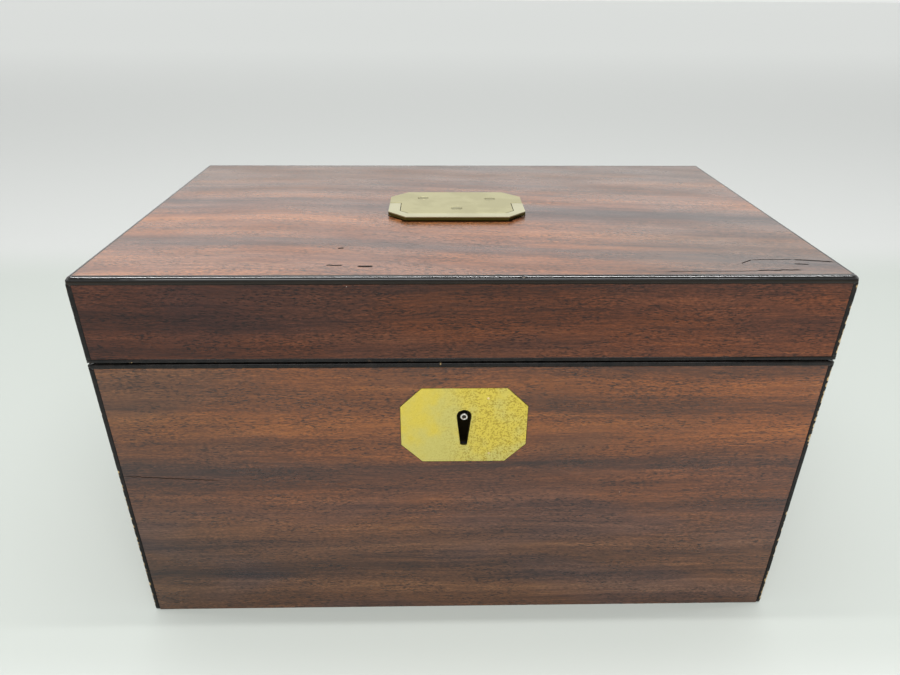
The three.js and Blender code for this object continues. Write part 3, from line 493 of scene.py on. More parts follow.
INSIDE_FINISH = {"shine": 0.42, "pore_depth": 0.6, "flecks": 0.7, "dust": False}
PINE_FINISH = {"shine": 0.7, "pore_depth": 0.1, "flecks": 0.3, "dust": False, "recolour": carcase_stain_and_shade}
MATERIALS = {
    "base_front_veneer": wood(
        "base_front_wood", "x", "z", MAHOGANY, BASE_FIGURE, 3.0, polish=0.4, cracks=FRONT_CRACKS,
        recolour=base_front_stain_and_reflection,
    ),
    "lid_front_veneer": wood(
        "lid_front_wood", "x", "z", MAHOGANY, LID_FIGURE_AND_SHADE, 11.0, polish=0.22, recolour=lid_front_stain
    ),
    "lid_top_veneer": wood(
        "lid_top_wood", "x", "y", TOP_MAHOGANY, TOP_FIGURE, 21.0, shine=0.28, polish=0.45, cracks=TOP_CRACKS,
        recolour=lid_top_stain_and_shade, lean=(-85.0, 0.12),
    ),
    "back_veneer": wood("back_wood", "x", "z", MAHOGANY, EVEN_FIGURE, 31.0),
    "side_veneer": wood("side_wood", "y", "z", MAHOGANY, EVEN_FIGURE, 41.0),
    "mahogany_x": wood("inside_wood_x", "x", "y", INSIDE_PALETTE, EVEN_FIGURE, 51.0, **INSIDE_FINISH),
    "mahogany_y": wood("inside_wood_y", "y", "x", INSIDE_PALETTE, EVEN_FIGURE, 61.0, **INSIDE_FINISH),
    "pine_x": wood("pine_x", "x", "y", PINE_PALETTE, EVEN_FIGURE, 71.0, **PINE_FINISH),
    "pine_y": wood("pine_y", "y", "x", PINE_PALETTE, EVEN_FIGURE, 81.0, **PINE_FINISH),
    "ebony": ebony(),
    "yellow_brass": brass(
        "yellow_brass", (0.555, 0.447, 0.08), (0.5, 0.45, 0.145), (0.27, 0.2, 0.03), 0.9, 0.38, mottling=0.75
    ),
    "aged_brass": brass(
        "aged_brass", (0.36, 0.33, 0.175), (0.32, 0.295, 0.17), (0.2, 0.17, 0.07), 0.3, 0.4,
        edge=(PLATE_EDGE_Z, (0.05, 0.042, 0.012)),
    ),
    "bail_brass": brass(
        "bail_brass", (0.415, 0.39, 0.25), (0.385, 0.36, 0.235), (0.24, 0.21, 0.1), 0.2, 0.34,
        edge=(BAIL_EDGE_Z, (0.1, 0.085, 0.02)),
    ),
    "screw_brass": brass("screw_brass", (0.3, 0.28, 0.16), (0.26, 0.24, 0.14), (0.1, 0.08, 0.03), 0.3, 0.42),
    "hardware_brass": brass(
        "hardware_brass", (0.72, 0.58, 0.27), (0.5, 0.4, 0.2), (0.16, 0.115, 0.05), 0.6, 0.38
    ),
    "tarnished_brass": brass(
        "tarnished_brass", (0.05, 0.038, 0.018), (0.03, 0.022, 0.01), (0.01, 0.008, 0.005), 0.5, 0.6
    ),
    "steel": steel(),
    "lead_foil": lead_foil(),
    "bone": bone(),
    "glass": glass(),
    "velvet": velvet(),
}

TARNISHED = ("lock_case", "lock_cap", "lock_bolt", "lock_spring")  # inside the lock, where no one cleans
SLOT_OF = {entry["node"]: entry["material_slot"] for entry in frame["record"]["subparts"]}


def material_for(node):
    """The material that a CAD node shows."""
    slot = SLOT_OF[node]
    if node in TARNISHED:
        return MATERIALS["tarnished_brass"]
    if node == "handle_bail":
        return MATERIALS["bail_brass"]
    if node.startswith("handle_screw"):
        return MATERIALS["screw_brass"]
    if slot == "mahogany_veneer":
        if node in MATERIALS:
            return MATERIALS[node]
        return MATERIALS["back_veneer" if "back" in node else "side_veneer"]
    if slot in ("mahogany_solid", "pine"):
        lengthwise = "y" if any(word in node for word in ("left", "right")) else "x"
        return MATERIALS[("pine_" if slot == "pine" else "mahogany_") + lengthwise]
    return MATERIALS[slot]


def smooth_edges(piece, width):
    """Welds the piece's seams and rounds its sharp edges."""
    weld = piece.modifiers.new("weld", "WELD")
    weld.merge_threshold = 0.01 * MM
    bevel = piece.modifiers.new("bevel", "BEVEL")
    bevel.width = width
    bevel.segments = 2
    bevel.limit_method = "ANGLE"
    bevel.angle_limit = math.radians(35)
    bevel.harden_normals = False


EDGE_WIDTHS = {
    "yellow_brass": 0.28 * MM,
    "aged_brass": 0.22 * MM,
    "hardware_brass": 0.12 * MM,
    "mahogany_solid": 0.5 * MM,
    "pine": 0.4 * MM,
}

for name, piece in frame["nodes"].items():
    piece.data.materials.clear()
    piece.data.materials.append(material_for(name))
    if SLOT_OF[name] in EDGE_WIDTHS:
        smooth_edges(piece, EDGE_WIDTHS[SLOT_OF[name]])


# ---- Making pieces ----
def finished(piece, material, body, smooth=True):
    """The piece with its material, riding on its body."""
    piece.data.polygons.foreach_set("use_smooth", [smooth] * len(piece.data.polygons))
    piece.data.materials.append(MATERIALS[material])
    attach(piece, body)
    return piece


def linked(name, data):
    """A new object in the scene that holds this data."""
    made = bpy.data.objects.new(name, data)
    bpy.context.scene.collection.objects.link(made)
    return made


def new_piece(name, vertices, faces, material, body, smooth=True):
    mesh = bpy.data.meshes.new(name)
    mesh.from_pydata([tuple(v) for v in vertices], [], faces)
    mesh.update()
    return finished(linked(name, mesh), material, body, smooth)


def smoothstep(value, low, high):
    share = min(1.0, max(0.0, (value - low) / (high - low)))
    return share * share * (3 - 2 * share)


# ---- Stringing ----
def string_strip(start, end, out_a, out_b, size_a, size_b, mitres):
    """One string along an arris from start to end, with outward directions out_a and out_b. mitres says which
    of its ends are cut at 45 degrees to meet the next string."""
    start, end, out_a, out_b = Vector(start), Vector(end), Vector(out_a), Vector(out_b)
    section = [(0.0, cut * size_b) for cut in SECTION_CUTS]
    section += [(cut * size_a, 0.0) for cut in reversed(SECTION_CUTS[:-1])]
    section.append((size_a, size_b))
    length = (end - start).length
    along = (end - start) / length
    steps = max(2, round(length / STRING_STEP))
    vertices = []
    for i in range(steps + 1):
        for a, b in section:
            first = a if mitres[0] else 0.0
            last = length - (a if mitres[1] else 0.0)
            place = first + (last - first) * i / steps
            vertices.append(start + along * place - out_a * a - out_b * b)
    count = len(section)
    faces = []
    for i in range(steps):
        for j in range(count):
            k = (j + 1) % count
            faces.append((i * count + j, i * count + k, (i + 1) * count + k, (i + 1) * count + j))
    faces.append(tuple(reversed(range(count))))
    faces.append(tuple(steps * count + j for j in range(count)))
    outward = along.dot(out_a.cross(out_b))
    if outward > 0:
        faces = [tuple(reversed(face)) for face in faces]
    return vertices, faces


def rounded(point, low, high, radius):
    """The point of a sharp-edged box, moved to where it lies when the box's arrises are rounded."""
    inner = Vector(
        min(max(value, a + radius), b - radius) for value, a, b in zip(point, low, high)
    )
    offset = point - inner
    if offset.length < NOTHING:
        return point
    largest = max(abs(value) for value in offset)
    return inner + offset * (largest / offset.length)


def grooved(point, low, high):
    """The point, set back where the fine joint runs under the lid's rounded arris."""
    if abs(point.z - (TOP_Z - GROOVE_DROP)) > GROOVE_HALF_WIDTH:
        return point
    x = min(max(point.x, low.x + GROOVE_DEPTH), high.x - GROOVE_DEPTH)
    y = min(max(point.y, low.y + GROOVE_DEPTH), high.y - GROOVE_DEPTH)
    return Vector((x, y, point.z))


def wear_at(point, chips):
    """How far wear has eaten into the arris at this point, in metres."""
    deepest = 0.0
    for centre, reach, depth in chips:
        away = (point - Vector(centre)).length
        ragged = 1 + 0.5 * noise.noise(point / (1.3 * MM))
        deepest = max(deepest, depth * (1 - smoothstep(away, 0.45 * reach * ragged, reach * ragged)))
    return deepest


def stringing(name, low, high, strips, radius_at, chips, body, node):
    """All the strings of one box as a piece, rounded and chipped, in place of the CAD node."""
    vertices, faces, wear = [], [], []
    for strip in strips:
        points, polygons = string_strip(*strip)
        first = len(vertices)
        for point in points:
            eaten = wear_at(point, chips)
            uneven = UNEVENNESS * noise.fractal(point / (6 * MM), 1.0, 2.0, 3)
            radius = max(SHARPEST, radius_at(point) + uneven + eaten)
            vertices.append(grooved(rounded(point, low, high, radius), low, high))
            wear.append(WEAR_SHOWN * eaten / MM)
        faces += [tuple(first + index for index in face) for face in polygons]
    piece = new_piece(name, vertices, faces, "ebony", body)
    attribute = piece.data.attributes.new("wear", "FLOAT", "POINT")
    attribute.data.foreach_set("value", wear)
    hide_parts(node)


def ring(low, high, z_out, height, gaps=()):
    """The four strings of a ring round a box, at its top (z_out 1) or its foot (z_out -1). gaps are the
    stretches of the back string that stop short of hinge leaves: (from x, to x, height left)."""
    z = high.z if z_out > 0 else low.z
    up = (0, 0, z_out)
    posts = [(low.x, low.y), (high.x, low.y), (high.x, high.y), (low.x, high.y)]
    outs = [(0, -1, 0), (1, 0, 0), (0, 1, 0), (-1, 0, 0)]
    strips = []
    for i, out in enumerate(outs):
        a, b = posts[i], posts[(i + 1) % 4]
        if i != 2 or not gaps:
            strips.append(((*a, z), (*b, z), out, up, STRING_DEPTH, height, (True, True)))
            continue
        right = high.x
        for from_x, to_x, left_over in sorted(gaps, reverse=True):
            mitred = (right == high.x, False)
            strips.append(((right, high.y, z), (to_x, high.y, z), out, up, STRING_DEPTH, height, mitred))
            under = z - z_out * (height - left_over)
            low_start, low_end = (to_x, high.y, under), (from_x, high.y, under)
            strips.append((low_start, low_end, out, up, STRING_DEPTH, left_over, (False, False)))
            right = from_x
        strips.append(((right, high.y, z), (low.x, high.y, z), out, up, STRING_DEPTH, height, (False, True)))
    return strips


def corner_strips(low, high, z0, z1):
    """The four upright strings at a box's corners."""
    strips = []
    for x, out_x in ((low.x, -1), (high.x, 1)):
        for y, out_y in ((low.y, -1), (high.y, 1)):
            outs = ((out_x, 0, 0), (0, out_y, 0))
            strips.append(((x, y, z0), (x, y, z1), *outs, STRING_DEPTH, STRING_DEPTH, (False, False)))
    return strips


def hinge_gaps(leaf_word, height):
    """Where the back string of a ring stops short of the hinge leaves let in at the seam."""
    gaps = []
    for side in ("left", "right"):
        low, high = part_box(f"hinge_{side}_{leaf_word}_leaf")
        mortise = LEAF_THICKNESS + MORTISE_GAP
        gaps.append((low[0] - MORTISE_GAP, high[0] + MORTISE_GAP, height - mortise))
    return gaps


def random_chips(draw, low, high, count, reach, depth):
    """Small chips scattered along the upright arrises and round the rims."""
    chips = []
    for _ in range(count):
        x = draw.choice((low.x, high.x))
        y = draw.choice((low.y, high.y))
        z = draw.uniform(low.z, high.z)
        if draw.random() < 0.5:
            z = draw.choice((low.z, high.z))
            if draw.random() < 0.6:
                x = draw.uniform(low.x, high.x)
            else:
                y = draw.uniform(low.y, high.y)
        chips.append(((x, y, z), draw.uniform(0.4, 1.0) * reach, draw.uniform(0.4, 1.0) * depth))
    return chips


def lid_radius(point):
    share = smoothstep(point.z, LID_LOW.z, LID_LOW.z + RADIUS_CHANGE)
    upper = smoothstep(point.z, TOP_Z - RADIUS_CHANGE, TOP_Z)
    return SEAM_RADIUS + (CORNER_RADIUS - SEAM_RADIUS) * share + (TOP_RADIUS - CORNER_RADIUS) * upper


def base_radius(point):
    below_rim = 1 - smoothstep(point.z, BASE_HIGH.z - RADIUS_CHANGE, BASE_HIGH.z)
    return SEAM_RADIUS + (CORNER_RADIUS - SEAM_RADIUS) * below_rim


def worn_stretches(draw, foot, stretches):
    """Chips that run together into pale lines along the upright front arrises. Each stretch is (x, height
    of its lower end above foot, height of its upper end, spacing, reach, depth)."""
    chips = []
    for x, lower, upper, spacing, reach, depth in stretches:
        for i in range(round((upper - lower) / spacing)):
            z = foot + lower + (i + draw.uniform(0.2, 0.8)) * spacing
            chips.append(((x, FRONT_Y, z), draw.uniform(0.6, 1.1) * reach, draw.uniform(0.7, 1.1) * depth))
    return chips


LID_STRETCHES = [(HALF_X, 2 * MM, 26 * MM, 2.6 * MM, 1.5 * MM, 0.4 * MM)]
LID_CORNER_DENT = ((HALF_X, FRONT_Y, LID_LOW.z + 32.5 * MM), 1.8 * MM, 0.26 * MM)
LID_RIM_DENTS = [((x * MM, FRONT_Y, LID_LOW.z), 2.2 * MM, 0.15 * MM) for x in (-38, -26, -22)]
BASE_STRETCHES = [
    (HALF_X, 96 * MM, 137 * MM, 2.8 * MM, 1.7 * MM, 0.42 * MM),
    (HALF_X, 1 * MM, 22 * MM, 1.5 * MM, 1.6 * MM, 0.5 * MM),
    (HALF_X, 30 * MM, 62 * MM, 5.0 * MM, 1.5 * MM, 0.42 * MM),
    (-HALF_X, 2 * MM, 88 * MM, 3.4 * MM, 1.3 * MM, 0.42 * MM),
]
draw = random.Random(SEED)
lid_chips = random_chips(draw, LID_LOW, LID_HIGH, 30, 1.5 * MM, 0.26 * MM)
lid_chips += worn_stretches(draw, LID_LOW.z, LID_STRETCHES)
lid_chips += [LID_CORNER_DENT, *LID_RIM_DENTS]
base_chips = random_chips(draw, BASE_LOW, BASE_HIGH, 36, 1.6 * MM, 0.28 * MM)
base_chips += worn_stretches(draw, 0.0, BASE_STRETCHES)

lid_strips = ring(LID_LOW, LID_HIGH, 1, TOP_HEIGHT)
lid_strips += ring(LID_LOW, LID_HIGH, -1, RIM_HEIGHT, hinge_gaps("lid", RIM_HEIGHT))
lid_strips += corner_strips(LID_LOW, LID_HIGH, LID_LOW.z + RIM_HEIGHT, TOP_Z - TOP_HEIGHT)
stringing("lid_strings", LID_LOW, LID_HIGH, lid_strips, lid_radius, lid_chips, "lid", "lid_edge_stringing")

base_strips = ring(BASE_LOW, BASE_HIGH, 1, RIM_HEIGHT, hinge_gaps("base", RIM_HEIGHT))
base_strips += corner_strips(BASE_LOW, BASE_HIGH, BASE_LOW.z, BASE_HIGH.z - RIM_HEIGHT)
stringing(
    "base_strings", BASE_LOW, BASE_HIGH, base_strips, base_radius, base_chips, "base", "base_edge_stringing"
)


# ---- Turned pieces ----
def spline_value(a, b, c, d, t):
    """The Catmull-Rom curve through a, b, c and d, where t runs from 0 at b to 1 at c."""
    linear = c - a
    square = 2 * a - 5 * b + 4 * c - d
    cube = 3 * b - a - 3 * c + d
    return 0.5 * (2 * b + linear * t + square * t * t + cube * t ** 3)


def flowing(points, between=4):
    """More points on a smooth curve through the given ones."""
    ends = [points[0], *points, points[-1]]
    curve = []
    for around in zip(ends, ends[1:], ends[2:], ends[3:]):
        for i in range(between):
            curve.append(tuple(spline_value(*values, i / between) for values in zip(*around)))
    return curve + [points[-1]]


def turned(name, profile, centre, material, body, facets=48, swell=None, axis="z"):
    """A profile of (radius, height), from the axis round to the axis, turned about an upright line through
    centre, or about one along -Y. swell(angle, height) scales the radius."""
    vertices, faces = [], []
    for radius, height in profile[1:-1]:
        for j in range(facets):
            angle = 2 * math.pi * j / facets
            reach = radius * (swell(angle, height) if swell else 1.0)
            vertices.append(Vector((reach * math.cos(angle), reach * math.sin(angle), height)))
    rings = len(profile) - 2
    for i in range(rings - 1):
        for j in range(facets):
            k = (j + 1) % facets
            faces.append((i * facets + j, i * facets + k, (i + 1) * facets + k, (i + 1) * facets + j))
    foot, head = len(vertices), len(vertices) + 1
    vertices += [Vector((0, 0, profile[0][1])), Vector((0, 0, profile[-1][1]))]
    for j in range(facets):
        k = (j + 1) % facets
        faces.append((foot, k, j))
        faces.append((head, (rings - 1) * facets + j, (rings - 1) * facets + k))
    turn = Matrix.Rotation(math.pi / 2, 3, "X") if axis == "-y" else Matrix.Identity(3)
    vertices = [turn @ (vertex * MM) + Vector(centre) for vertex in vertices]
    return new_piece(name, vertices, faces, material, body)


# Profiles are (radius, height), in millimetres.
KNOB_PROFILE = [
    (0, 0.02), (4.2, 0.02), (4.45, 0.3), (4.5, 0.9), (4.1, 1.35), (3.5, 1.5), (3.6, 1.9), (2.6, 2.5),
    (1.95, 3.6), (1.95, 4.6), (2.7, 5.5), (4.3, 6.5), (5.3, 7.8), (5.5, 9.2), (5.0, 10.8), (3.9, 12.0),
    (2.2, 12.6), (1.9, 12.5), (1.2, 12.9), (0, 13.0),
]
for side in ("left", "right"):
    low, high = corners(f"inner_lid_{side}_knob")
    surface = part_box(f"inner_lid_{side}")[1][2]
    middle = ((low.x + high.x) / 2, (low.y + high.y) / 2, surface)
    knob = turned(f"turned_knob_{side}", flowing(KNOB_PROFILE), middle, "bone", f"inner_lid_{side}")
    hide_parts(f"inner_lid_{side}_knob")

BOWL_OUTSIDE = [
    (0, -63), (19, -63), (22, -62.6), (22.8, -61.4), (21.5, -59.5), (19.2, -57.6), (20.5, -56), (28, -53.5),
    (36, -48), (42, -39.5), (45.3, -28), (46.6, -14), (46.8, -1.5), (47.6, 0.15), (51.4, 0.15), (52.8, 1.4),
    (52.4, 3.2), (50.6, 4.1), (47.6, 4.0),
]
BOWL_INSIDE = [
    (45.2, 2.6), (44.4, -4), (43.6, -14), (42.0, -27), (38.4, -38), (31, -46.5), (18, -50.8), (0, -51.5),
]
BOWL_CUTS = 20  # broad flutes round the belly
FLUTE_DEPTH = 0.028  # as a share of the radius


def bowl_flutes(angle, height):
    """Flutes cut into the belly, fading out towards the rim and the foot."""
    belly = smoothstep(height, -54, -46) * (1 - smoothstep(height, -22, -12))
    return 1 - FLUTE_DEPTH * belly * abs(math.cos(BOWL_CUTS * angle / 2))


bowl = turned(
    "fluted_bowl", flowing(BOWL_OUTSIDE) + flowing(BOWL_INSIDE), (0, 0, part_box("well_board")[1][2]), "glass",
    "glass_bowl", facets=160, swell=bowl_flutes,
)
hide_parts("glass_bowl")

PIN_LENGTH = 4.5
PIN_PROFILE = [
    (0, 0), (1.58, 0), (1.6, 4.2), (1.55, 4.42), (1.4, PIN_LENGTH), (0.95, PIN_LENGTH), (0.85, 4.35),
    (0.8, 0.9), (0, 0.8),
]
low, high = corners("lock_drill_pin")
pin_place = ((low.x + high.x) / 2, low.y + PIN_LENGTH * MM, (low.z + high.z) / 2)
drill_pin = turned("hollow_drill_pin", PIN_PROFILE, pin_place, "steel", "base", 32, axis="-y")
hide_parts("lock_drill_pin")

# ---- Screws and small pins ----
SCREW_RADIUS = 1.75 * MM
SCREW_SLOT = 0.22  # half the slot's width, as a share of the head's radius
SCREW_SUNK = 0.6 * MM
SCREW_PROUD = 0.06 * MM
HALF_HEAD_STEPS = 14
LEAF_SCREWS = ((0.16, 3.1), (0.5, 5.6), (0.84, 3.1))  # share of a leaf's length, mm in from its front edge
ESCUTCHEON_PINS = {"upper": (10.0, 122.7), "lower": (11.0, 94.6)}  # x and z, in millimetres
PIN_DOME = [(0, -0.5), (0.55, -0.5), (0.55, 0.0), (0.42, 0.07), (0.22, 0.11), (0, 0.12)]


def screw_heads(name, places, radius, facing, body):
    """Slotted screw heads let in flush: facing is 1 where they look up and -1 where they look down."""
    slot_half = SCREW_SLOT * radius
    start = math.asin(slot_half / radius)
    arc = [start + (math.pi - 2 * start) * i / HALF_HEAD_STEPS for i in range(HALF_HEAD_STEPS + 1)]
    outline = [Vector((radius * math.cos(a), radius * math.sin(a), 0)) for a in arc]
    count = len(outline)
    vertices, faces = [], []
    for place, turn in places:
        for half in (0, math.pi):
            spin = Matrix.Rotation(turn + half, 3, "Z")
            first = len(vertices)
            for height, shrink in ((-SCREW_SUNK, 0.96), (0.0, 1.0), (SCREW_PROUD, 0.9)):
                for point in outline:
                    y = slot_half + (point.y - slot_half) * shrink
                    vertices.append(spin @ Vector((point.x * shrink, y, height * facing)) + place)
            for level in range(2):
                for i in range(count):
                    k = (i + 1) % count
                    a = first + level * count
                    b = a + count
                    faces.append((a + i, a + k, b + k, b + i)[::facing])
            faces.append(tuple(first + i for i in range(count))[::-facing])
            faces.append(tuple(first + 2 * count + i for i in range(count))[::facing])
    return new_piece(name, vertices, faces, "hardware_brass", body, smooth=False)


def hinge_screws(leaf_word, facing, body, draw):
    places = []
    for side in ("left", "right"):
        low, high = corners(f"hinge_{side}_{leaf_word}_leaf")
        z = BASE_HIGH.z if facing > 0 else LID_LOW.z
        for share, row in LEAF_SCREWS:
            place = Vector((low.x + share * (high.x - low.x), low.y + row * MM, z))
            places.append((place, draw.uniform(0, math.pi)))
    screw_heads(f"hinge_{leaf_word}_screws", places, SCREW_RADIUS, facing, body)


hinge_screws("base", 1, "base", draw)
hinge_screws("lid", -1, "lid", draw)

escutcheon_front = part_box("escutcheon")[0][1]
for name, (x, z) in ESCUTCHEON_PINS.items():
    turned(
        f"escutcheon_pin_{name}", PIN_DOME, (x * MM, escutcheon_front, z * MM), "hardware_brass", "base", 16,
        axis="-y",
    )


# ---- Foil linings ----
FOIL_THICKNESS = 0.3 * MM
FOIL_CREASE = 0.5 * MM  # how far its creases stand off the board
FOIL_DIVISIONS = 44


def open_box(low, high, divisions, inward):
    """The sides and floor of a box as an even grid, with no top."""
    mesh = bmesh.new()
    bmesh.ops.create_cube(mesh, size=1)
    bmesh.ops.subdivide_edges(mesh, edges=mesh.edges[:], cuts=divisions, use_grid_fill=True)
    lids = [face for face in mesh.faces if face.normal.z > 0.5]
    bmesh.ops.delete(mesh, geom=lids, context="FACES")
    for vertex in mesh.verts:
        share = vertex.co + Vector((0.5, 0.5, 0.5))
        vertex.co = Vector(a + (b - a) * s for a, b, s in zip(low, high, share))
    if inward:
        bmesh.ops.reverse_faces(mesh, faces=mesh.faces[:])
    return mesh


def crumpled(point, depth):
    """How far hand-pressed foil stands off its board at a point: flat fields between sharp creases."""
    ridge = 1 - abs(noise.noise(point / (17 * MM))) * 2.6
    fine = noise.fractal(point / (6 * MM), 1.0, 2.0, 3)
    return depth * (0.75 * max(0.0, ridge) ** 3 + 0.2 * fine + 0.12)


def foil_lining(side):
    """One compartment's lining: a thin box of foil, smooth outside and creased inside."""
    low, high = corners(f"foil_lining_{side}")
    outside = open_box(low, high, FOIL_DIVISIONS, False)
    inner_low = low + Vector((FOIL_THICKNESS,) * 3)
    inner_high = high - Vector((FOIL_THICKNESS, FOIL_THICKNESS, 0))
    inside = open_box(inner_low, inner_high, FOIL_DIVISIONS, True)
    middle = (low + high) / 2
    for vertex in inside.verts:
        fade = smoothstep(high.z - vertex.co.z, 0.0, 3 * MM)
        off = max(0.0, crumpled(vertex.co, FOIL_CREASE)) * fade
        for i, reach in enumerate(inner_high - inner_low):
            at_face = min(vertex.co[i] - inner_low[i], inner_high[i] - vertex.co[i]) < 1e-6
            if at_face and not (i == 2 and vertex.co.z > middle.z):
                vertex.co[i] += off if vertex.co[i] < middle[i] else -off
    inner_mesh = bpy.data.meshes.new("inner_foil")
    inside.to_mesh(inner_mesh)
    outside.from_mesh(inner_mesh)
    bpy.data.meshes.remove(inner_mesh)
    rims = [edge for edge in outside.edges if edge.is_boundary]
    bmesh.ops.bridge_loops(outside, edges=rims)
    bmesh.ops.recalc_face_normals(outside, faces=outside.faces[:])
    mesh = bpy.data.meshes.new(f"creased_foil_{side}")
    outside.to_mesh(mesh)
    piece = finished(linked(mesh.name, mesh), "lead_foil", "base")
    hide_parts(f"foil_lining_{side}")


for side in ("left", "right"):
    foil_lining(side)


# ---- The padded velvet in the lid ----
PAD_INSET = 1.2 * MM  # the pad swells, so it starts smaller than its space
PAD_CAP = 3.0 * MM  # the most that the cloth may move
PAD_VOXEL = 4.0 * MM
PAD_PRESSURE = 4.0
PAD_FRAMES = 20
PAD_GLUED = 0.5 * MM  # the back's depth that is held to the board
PAD_CROWN = 26 * MM  # how far in from its edges the pad is fully thick
PAD_DROP = 2.6 * MM  # how much thinner it is at its edges
PAD_SLACK = 0.3 * MM


def pad_blank():
    """The uninflated pad: its space, drawn in a little, remeshed evenly."""
    low, high = corners("lid_lining")
    mesh = bmesh.new()
    bmesh.ops.create_cube(mesh, size=1)
    inset = Vector((PAD_INSET, PAD_INSET, 0.3 * MM))
    for vertex in mesh.verts:
        share = vertex.co + Vector((0.5, 0.5, 0.5))
        vertex.co = Vector(a + i + (b - a - 2 * i) * s for a, b, i, s in zip(low, high, inset, share))
    data = bpy.data.meshes.new("velvet_pad")
    mesh.to_mesh(data)
    piece = linked("velvet_pad", data)
    remesh = piece.modifiers.new("remesh", "REMESH")
    remesh.mode = "VOXEL"
    remesh.voxel_size = PAD_VOXEL
    apply_modifiers(piece)
    return piece, low, high


def apply_modifiers(piece):
    evaluated = piece.evaluated_get(bpy.context.evaluated_depsgraph_get())
    made = bpy.data.meshes.new_from_object(evaluated)
    piece.modifiers.clear()
    piece.data = made


def inflate(piece, pressure):
    """Fills the pad as a sewn cloth bag, pinned where its back is glued to the lid's board."""
    before = [vertex.co.copy() for vertex in piece.data.vertices]
    top = max(point.z for point in before)
    glued = piece.vertex_groups.new(name="glued")
    glued.add([i for i, point in enumerate(before) if point.z > top - PAD_GLUED], 1.0, "REPLACE")
    cloth = piece.modifiers.new("cloth", "CLOTH")
    cloth.settings.use_pressure = True
    cloth.settings.uniform_pressure_force = pressure
    cloth.settings.effector_weights.gravity = 0.0
    cloth.settings.vertex_group_mass = "glued"
    for number in range(1, PAD_FRAMES + 1):
        bpy.context.scene.frame_set(number)
    apply_modifiers(piece)
    for vertex, start in zip(piece.data.vertices, before):
        move = vertex.co - start
        if move.length > PAD_CAP:
            vertex.co = start + move * (PAD_CAP / move.length)
    bpy.context.scene.frame_set(1)


def lid_pad():
    """The velvet pad that lines the lid, thick in its middle and drawn down to its edges."""
    piece, low, high = pad_blank()
    inflate(piece, PAD_PRESSURE)
    size = high - low
    for vertex in piece.data.vertices:
        share = Vector((vertex.co[i] - low[i]) / size[i] for i in range(3))
        edge = min(share.x, 1 - share.x) * size.x, min(share.y, 1 - share.y) * size.y
        crown = smoothstep(min(edge), 0.0, PAD_CROWN)
        slack = PAD_SLACK * noise.fractal(vertex.co / (38 * MM), 1.0, 2.0, 3)
        if share.z < 0.5:
            vertex.co.z += (1 - crown) * PAD_DROP + slack
        for i in range(3):
            vertex.co[i] = min(max(vertex.co[i], low[i]), high[i])
    smoother = piece.modifiers.new("smoother", "SUBSURF")
    smoother.levels = smoother.render_levels = 1
    finished(piece, "velvet", "lid")
    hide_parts("lid_lining")


lid_pad()


# ---- Stage, light and camera ----
FLOOR_SIZE = 40  # metres, so that its far edge is out of sight
FLOOR_FRONT = (0.76, 0.775, 0.76)
# Its tones behind the front: (y where it begins, y where it is full, colour), in millimetres.
FLOOR_ZONES = [
    (-205.0, -110.0, (0.447, 0.475, 0.447)),
    (330.0, 450.0, (0.522, 0.531, 0.522)),
    (900.0, 3500.0, (0.665, 0.675, 0.665)),
]
CAMERA_PLACE = (-11.29, -324.86, 273.44)  # millimetres
CAMERA_ANGLES = (1.259, 27.53, 0.356)  # yaw to the right, pitch down and roll, in degrees
CAMERA_LENS = 26.77
SENSOR_WIDTH = 36.0
ROOM_TINT = (0.985, 1.0, 0.985)
ROOM_BY_HEIGHT = ((0.0, 0.83), (0.2, 1.2), (0.36, 1.75), (0.6, 1.5), (0.8, 0.5), (1.0, 0.8))
ROOM_FRONT_SHARE = 0.6
TUBE_PLACES = {"left": -0.42, "right": 0.42}  # x in metres


def floor():
    """A pale sheet of paper, palest in front of the caddy and far behind it."""
    g = Graph("pale_floor")
    distance = g.axes()["y"]
    colour = FLOOR_FRONT
    for begins, full, zone_colour in FLOOR_ZONES:
        colour = g.mix(g.step(distance, begins, full), colour, zone_colour)
    g.surface(Base_Color=colour, Roughness=0.6)
    bpy.ops.mesh.primitive_plane_add(size=FLOOR_SIZE)
    plane = bpy.context.object
    plane.name = "floor"
    plane.data.materials.append(g.material)


def area_light(name, place, aim, size, watts):
    data = bpy.data.lights.new(name, "AREA")
    data.shape = "RECTANGLE"
    data.size, data.size_y = size
    data.energy = watts
    light = linked(name, data)
    light.location = place
    light.rotation_euler = (Vector(aim) - Vector(place)).to_track_quat("-Z", "Y").to_euler()
    light.visible_camera = False
    return light


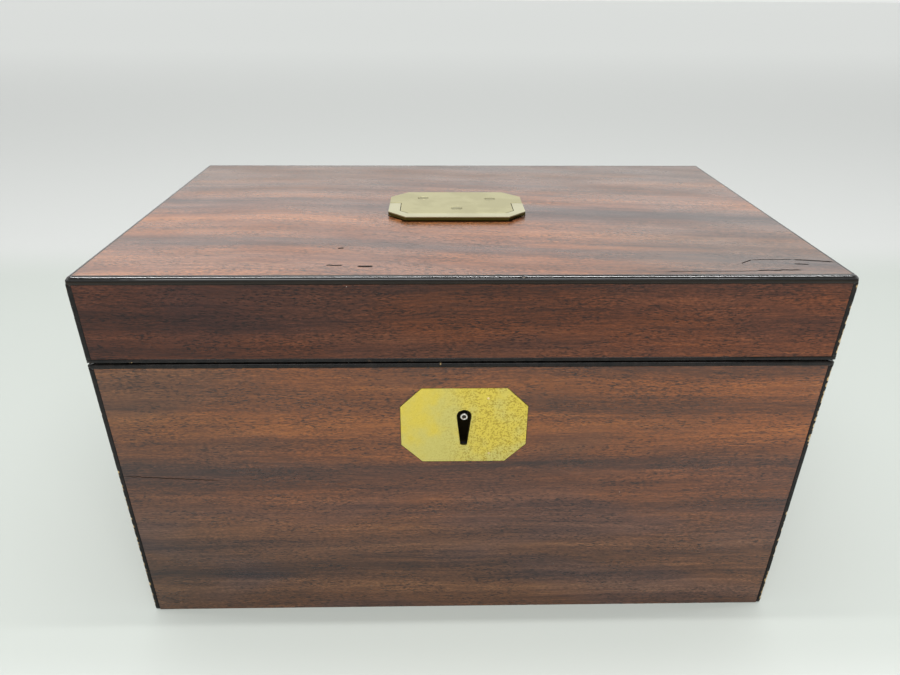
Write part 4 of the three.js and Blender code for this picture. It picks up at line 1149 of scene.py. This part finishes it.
def room_light(by_height, front_share):
    """A pale room. by_height is its brightness as (sine of the height above the horizon, brightness), and
    the side that the camera stands on has only front_share of it."""
    world = bpy.data.worlds.new("room")
    world.use_nodes = True
    nodes, links = world.node_tree.nodes, world.node_tree.links
    direction = nodes.new("ShaderNodeTexCoord").outputs["Generated"]
    parts = nodes.new("ShaderNodeSeparateXYZ")
    links.new(direction, parts.inputs[0])
    height = nodes.new("ShaderNodeFloatCurve")
    links.new(parts.outputs[2], height.inputs["Value"])
    curve = height.mapping.curves[0]
    top = max(brightness for _, brightness in by_height)
    while len(curve.points) < len(by_height):
        curve.points.new(0.5, 0.5)
    for point, (place, brightness) in zip(curve.points, by_height):
        point.location = (place, brightness / top)
        point.handle_type = "VECTOR"
    height.mapping.update()
    side = nodes.new("ShaderNodeMapRange")
    for index, value in enumerate((-0.75, 0.1, front_share * top, top), start=1):
        side.inputs[index].default_value = value
    links.new(parts.outputs[1], side.inputs[0])
    product = nodes.new("ShaderNodeMath")
    product.operation = "MULTIPLY"
    links.new(height.outputs[0], product.inputs[0])
    links.new(side.outputs[0], product.inputs[1])
    background = nodes["Background"]
    background.inputs[0].default_value = (*ROOM_TINT, 1.0)
    links.new(product.outputs[0], background.inputs[1])
    bpy.context.scene.world = world


def camera():
    data = bpy.data.cameras.new("camera")
    data.lens = CAMERA_LENS
    data.sensor_width = SENSOR_WIDTH
    data.clip_start = 0.01
    made = linked("camera", data)
    yaw, pitch, roll = (math.radians(angle) for angle in CAMERA_ANGLES)
    turn = Matrix.Rotation(-yaw, 4, "Z") @ Matrix.Rotation(math.pi / 2 - pitch, 4, "X")
    turn = turn @ Matrix.Rotation(roll, 4, "Z")
    made.matrix_world = Matrix.Translation(Vector(CAMERA_PLACE) * MM) @ turn
    bpy.context.scene.camera = made


camera()
floor()
room_light(ROOM_BY_HEIGHT, ROOM_FRONT_SHARE)
area_light("soft_box", (0, -0.9, 1.0), (0, -0.05, 0.1), (1.3, 0.5), 13.5)
for side, x in TUBE_PLACES.items():
    area_light(f"{side}_tube", (x, -0.03, 1.3), (x, -0.03, 0.0), (0.8, 0.022), 3.2)
    # This one lights reflections only: it makes the bright line along the lid's front arris.
    gleam = area_light(f"{side}_gleam", (x, -0.03, 1.25), (x, -0.03, 0.0), (0.84, 0.05), 9.0)
    gleam.visible_diffuse = False
bpy.context.scene.view_settings.view_transform = "Standard"
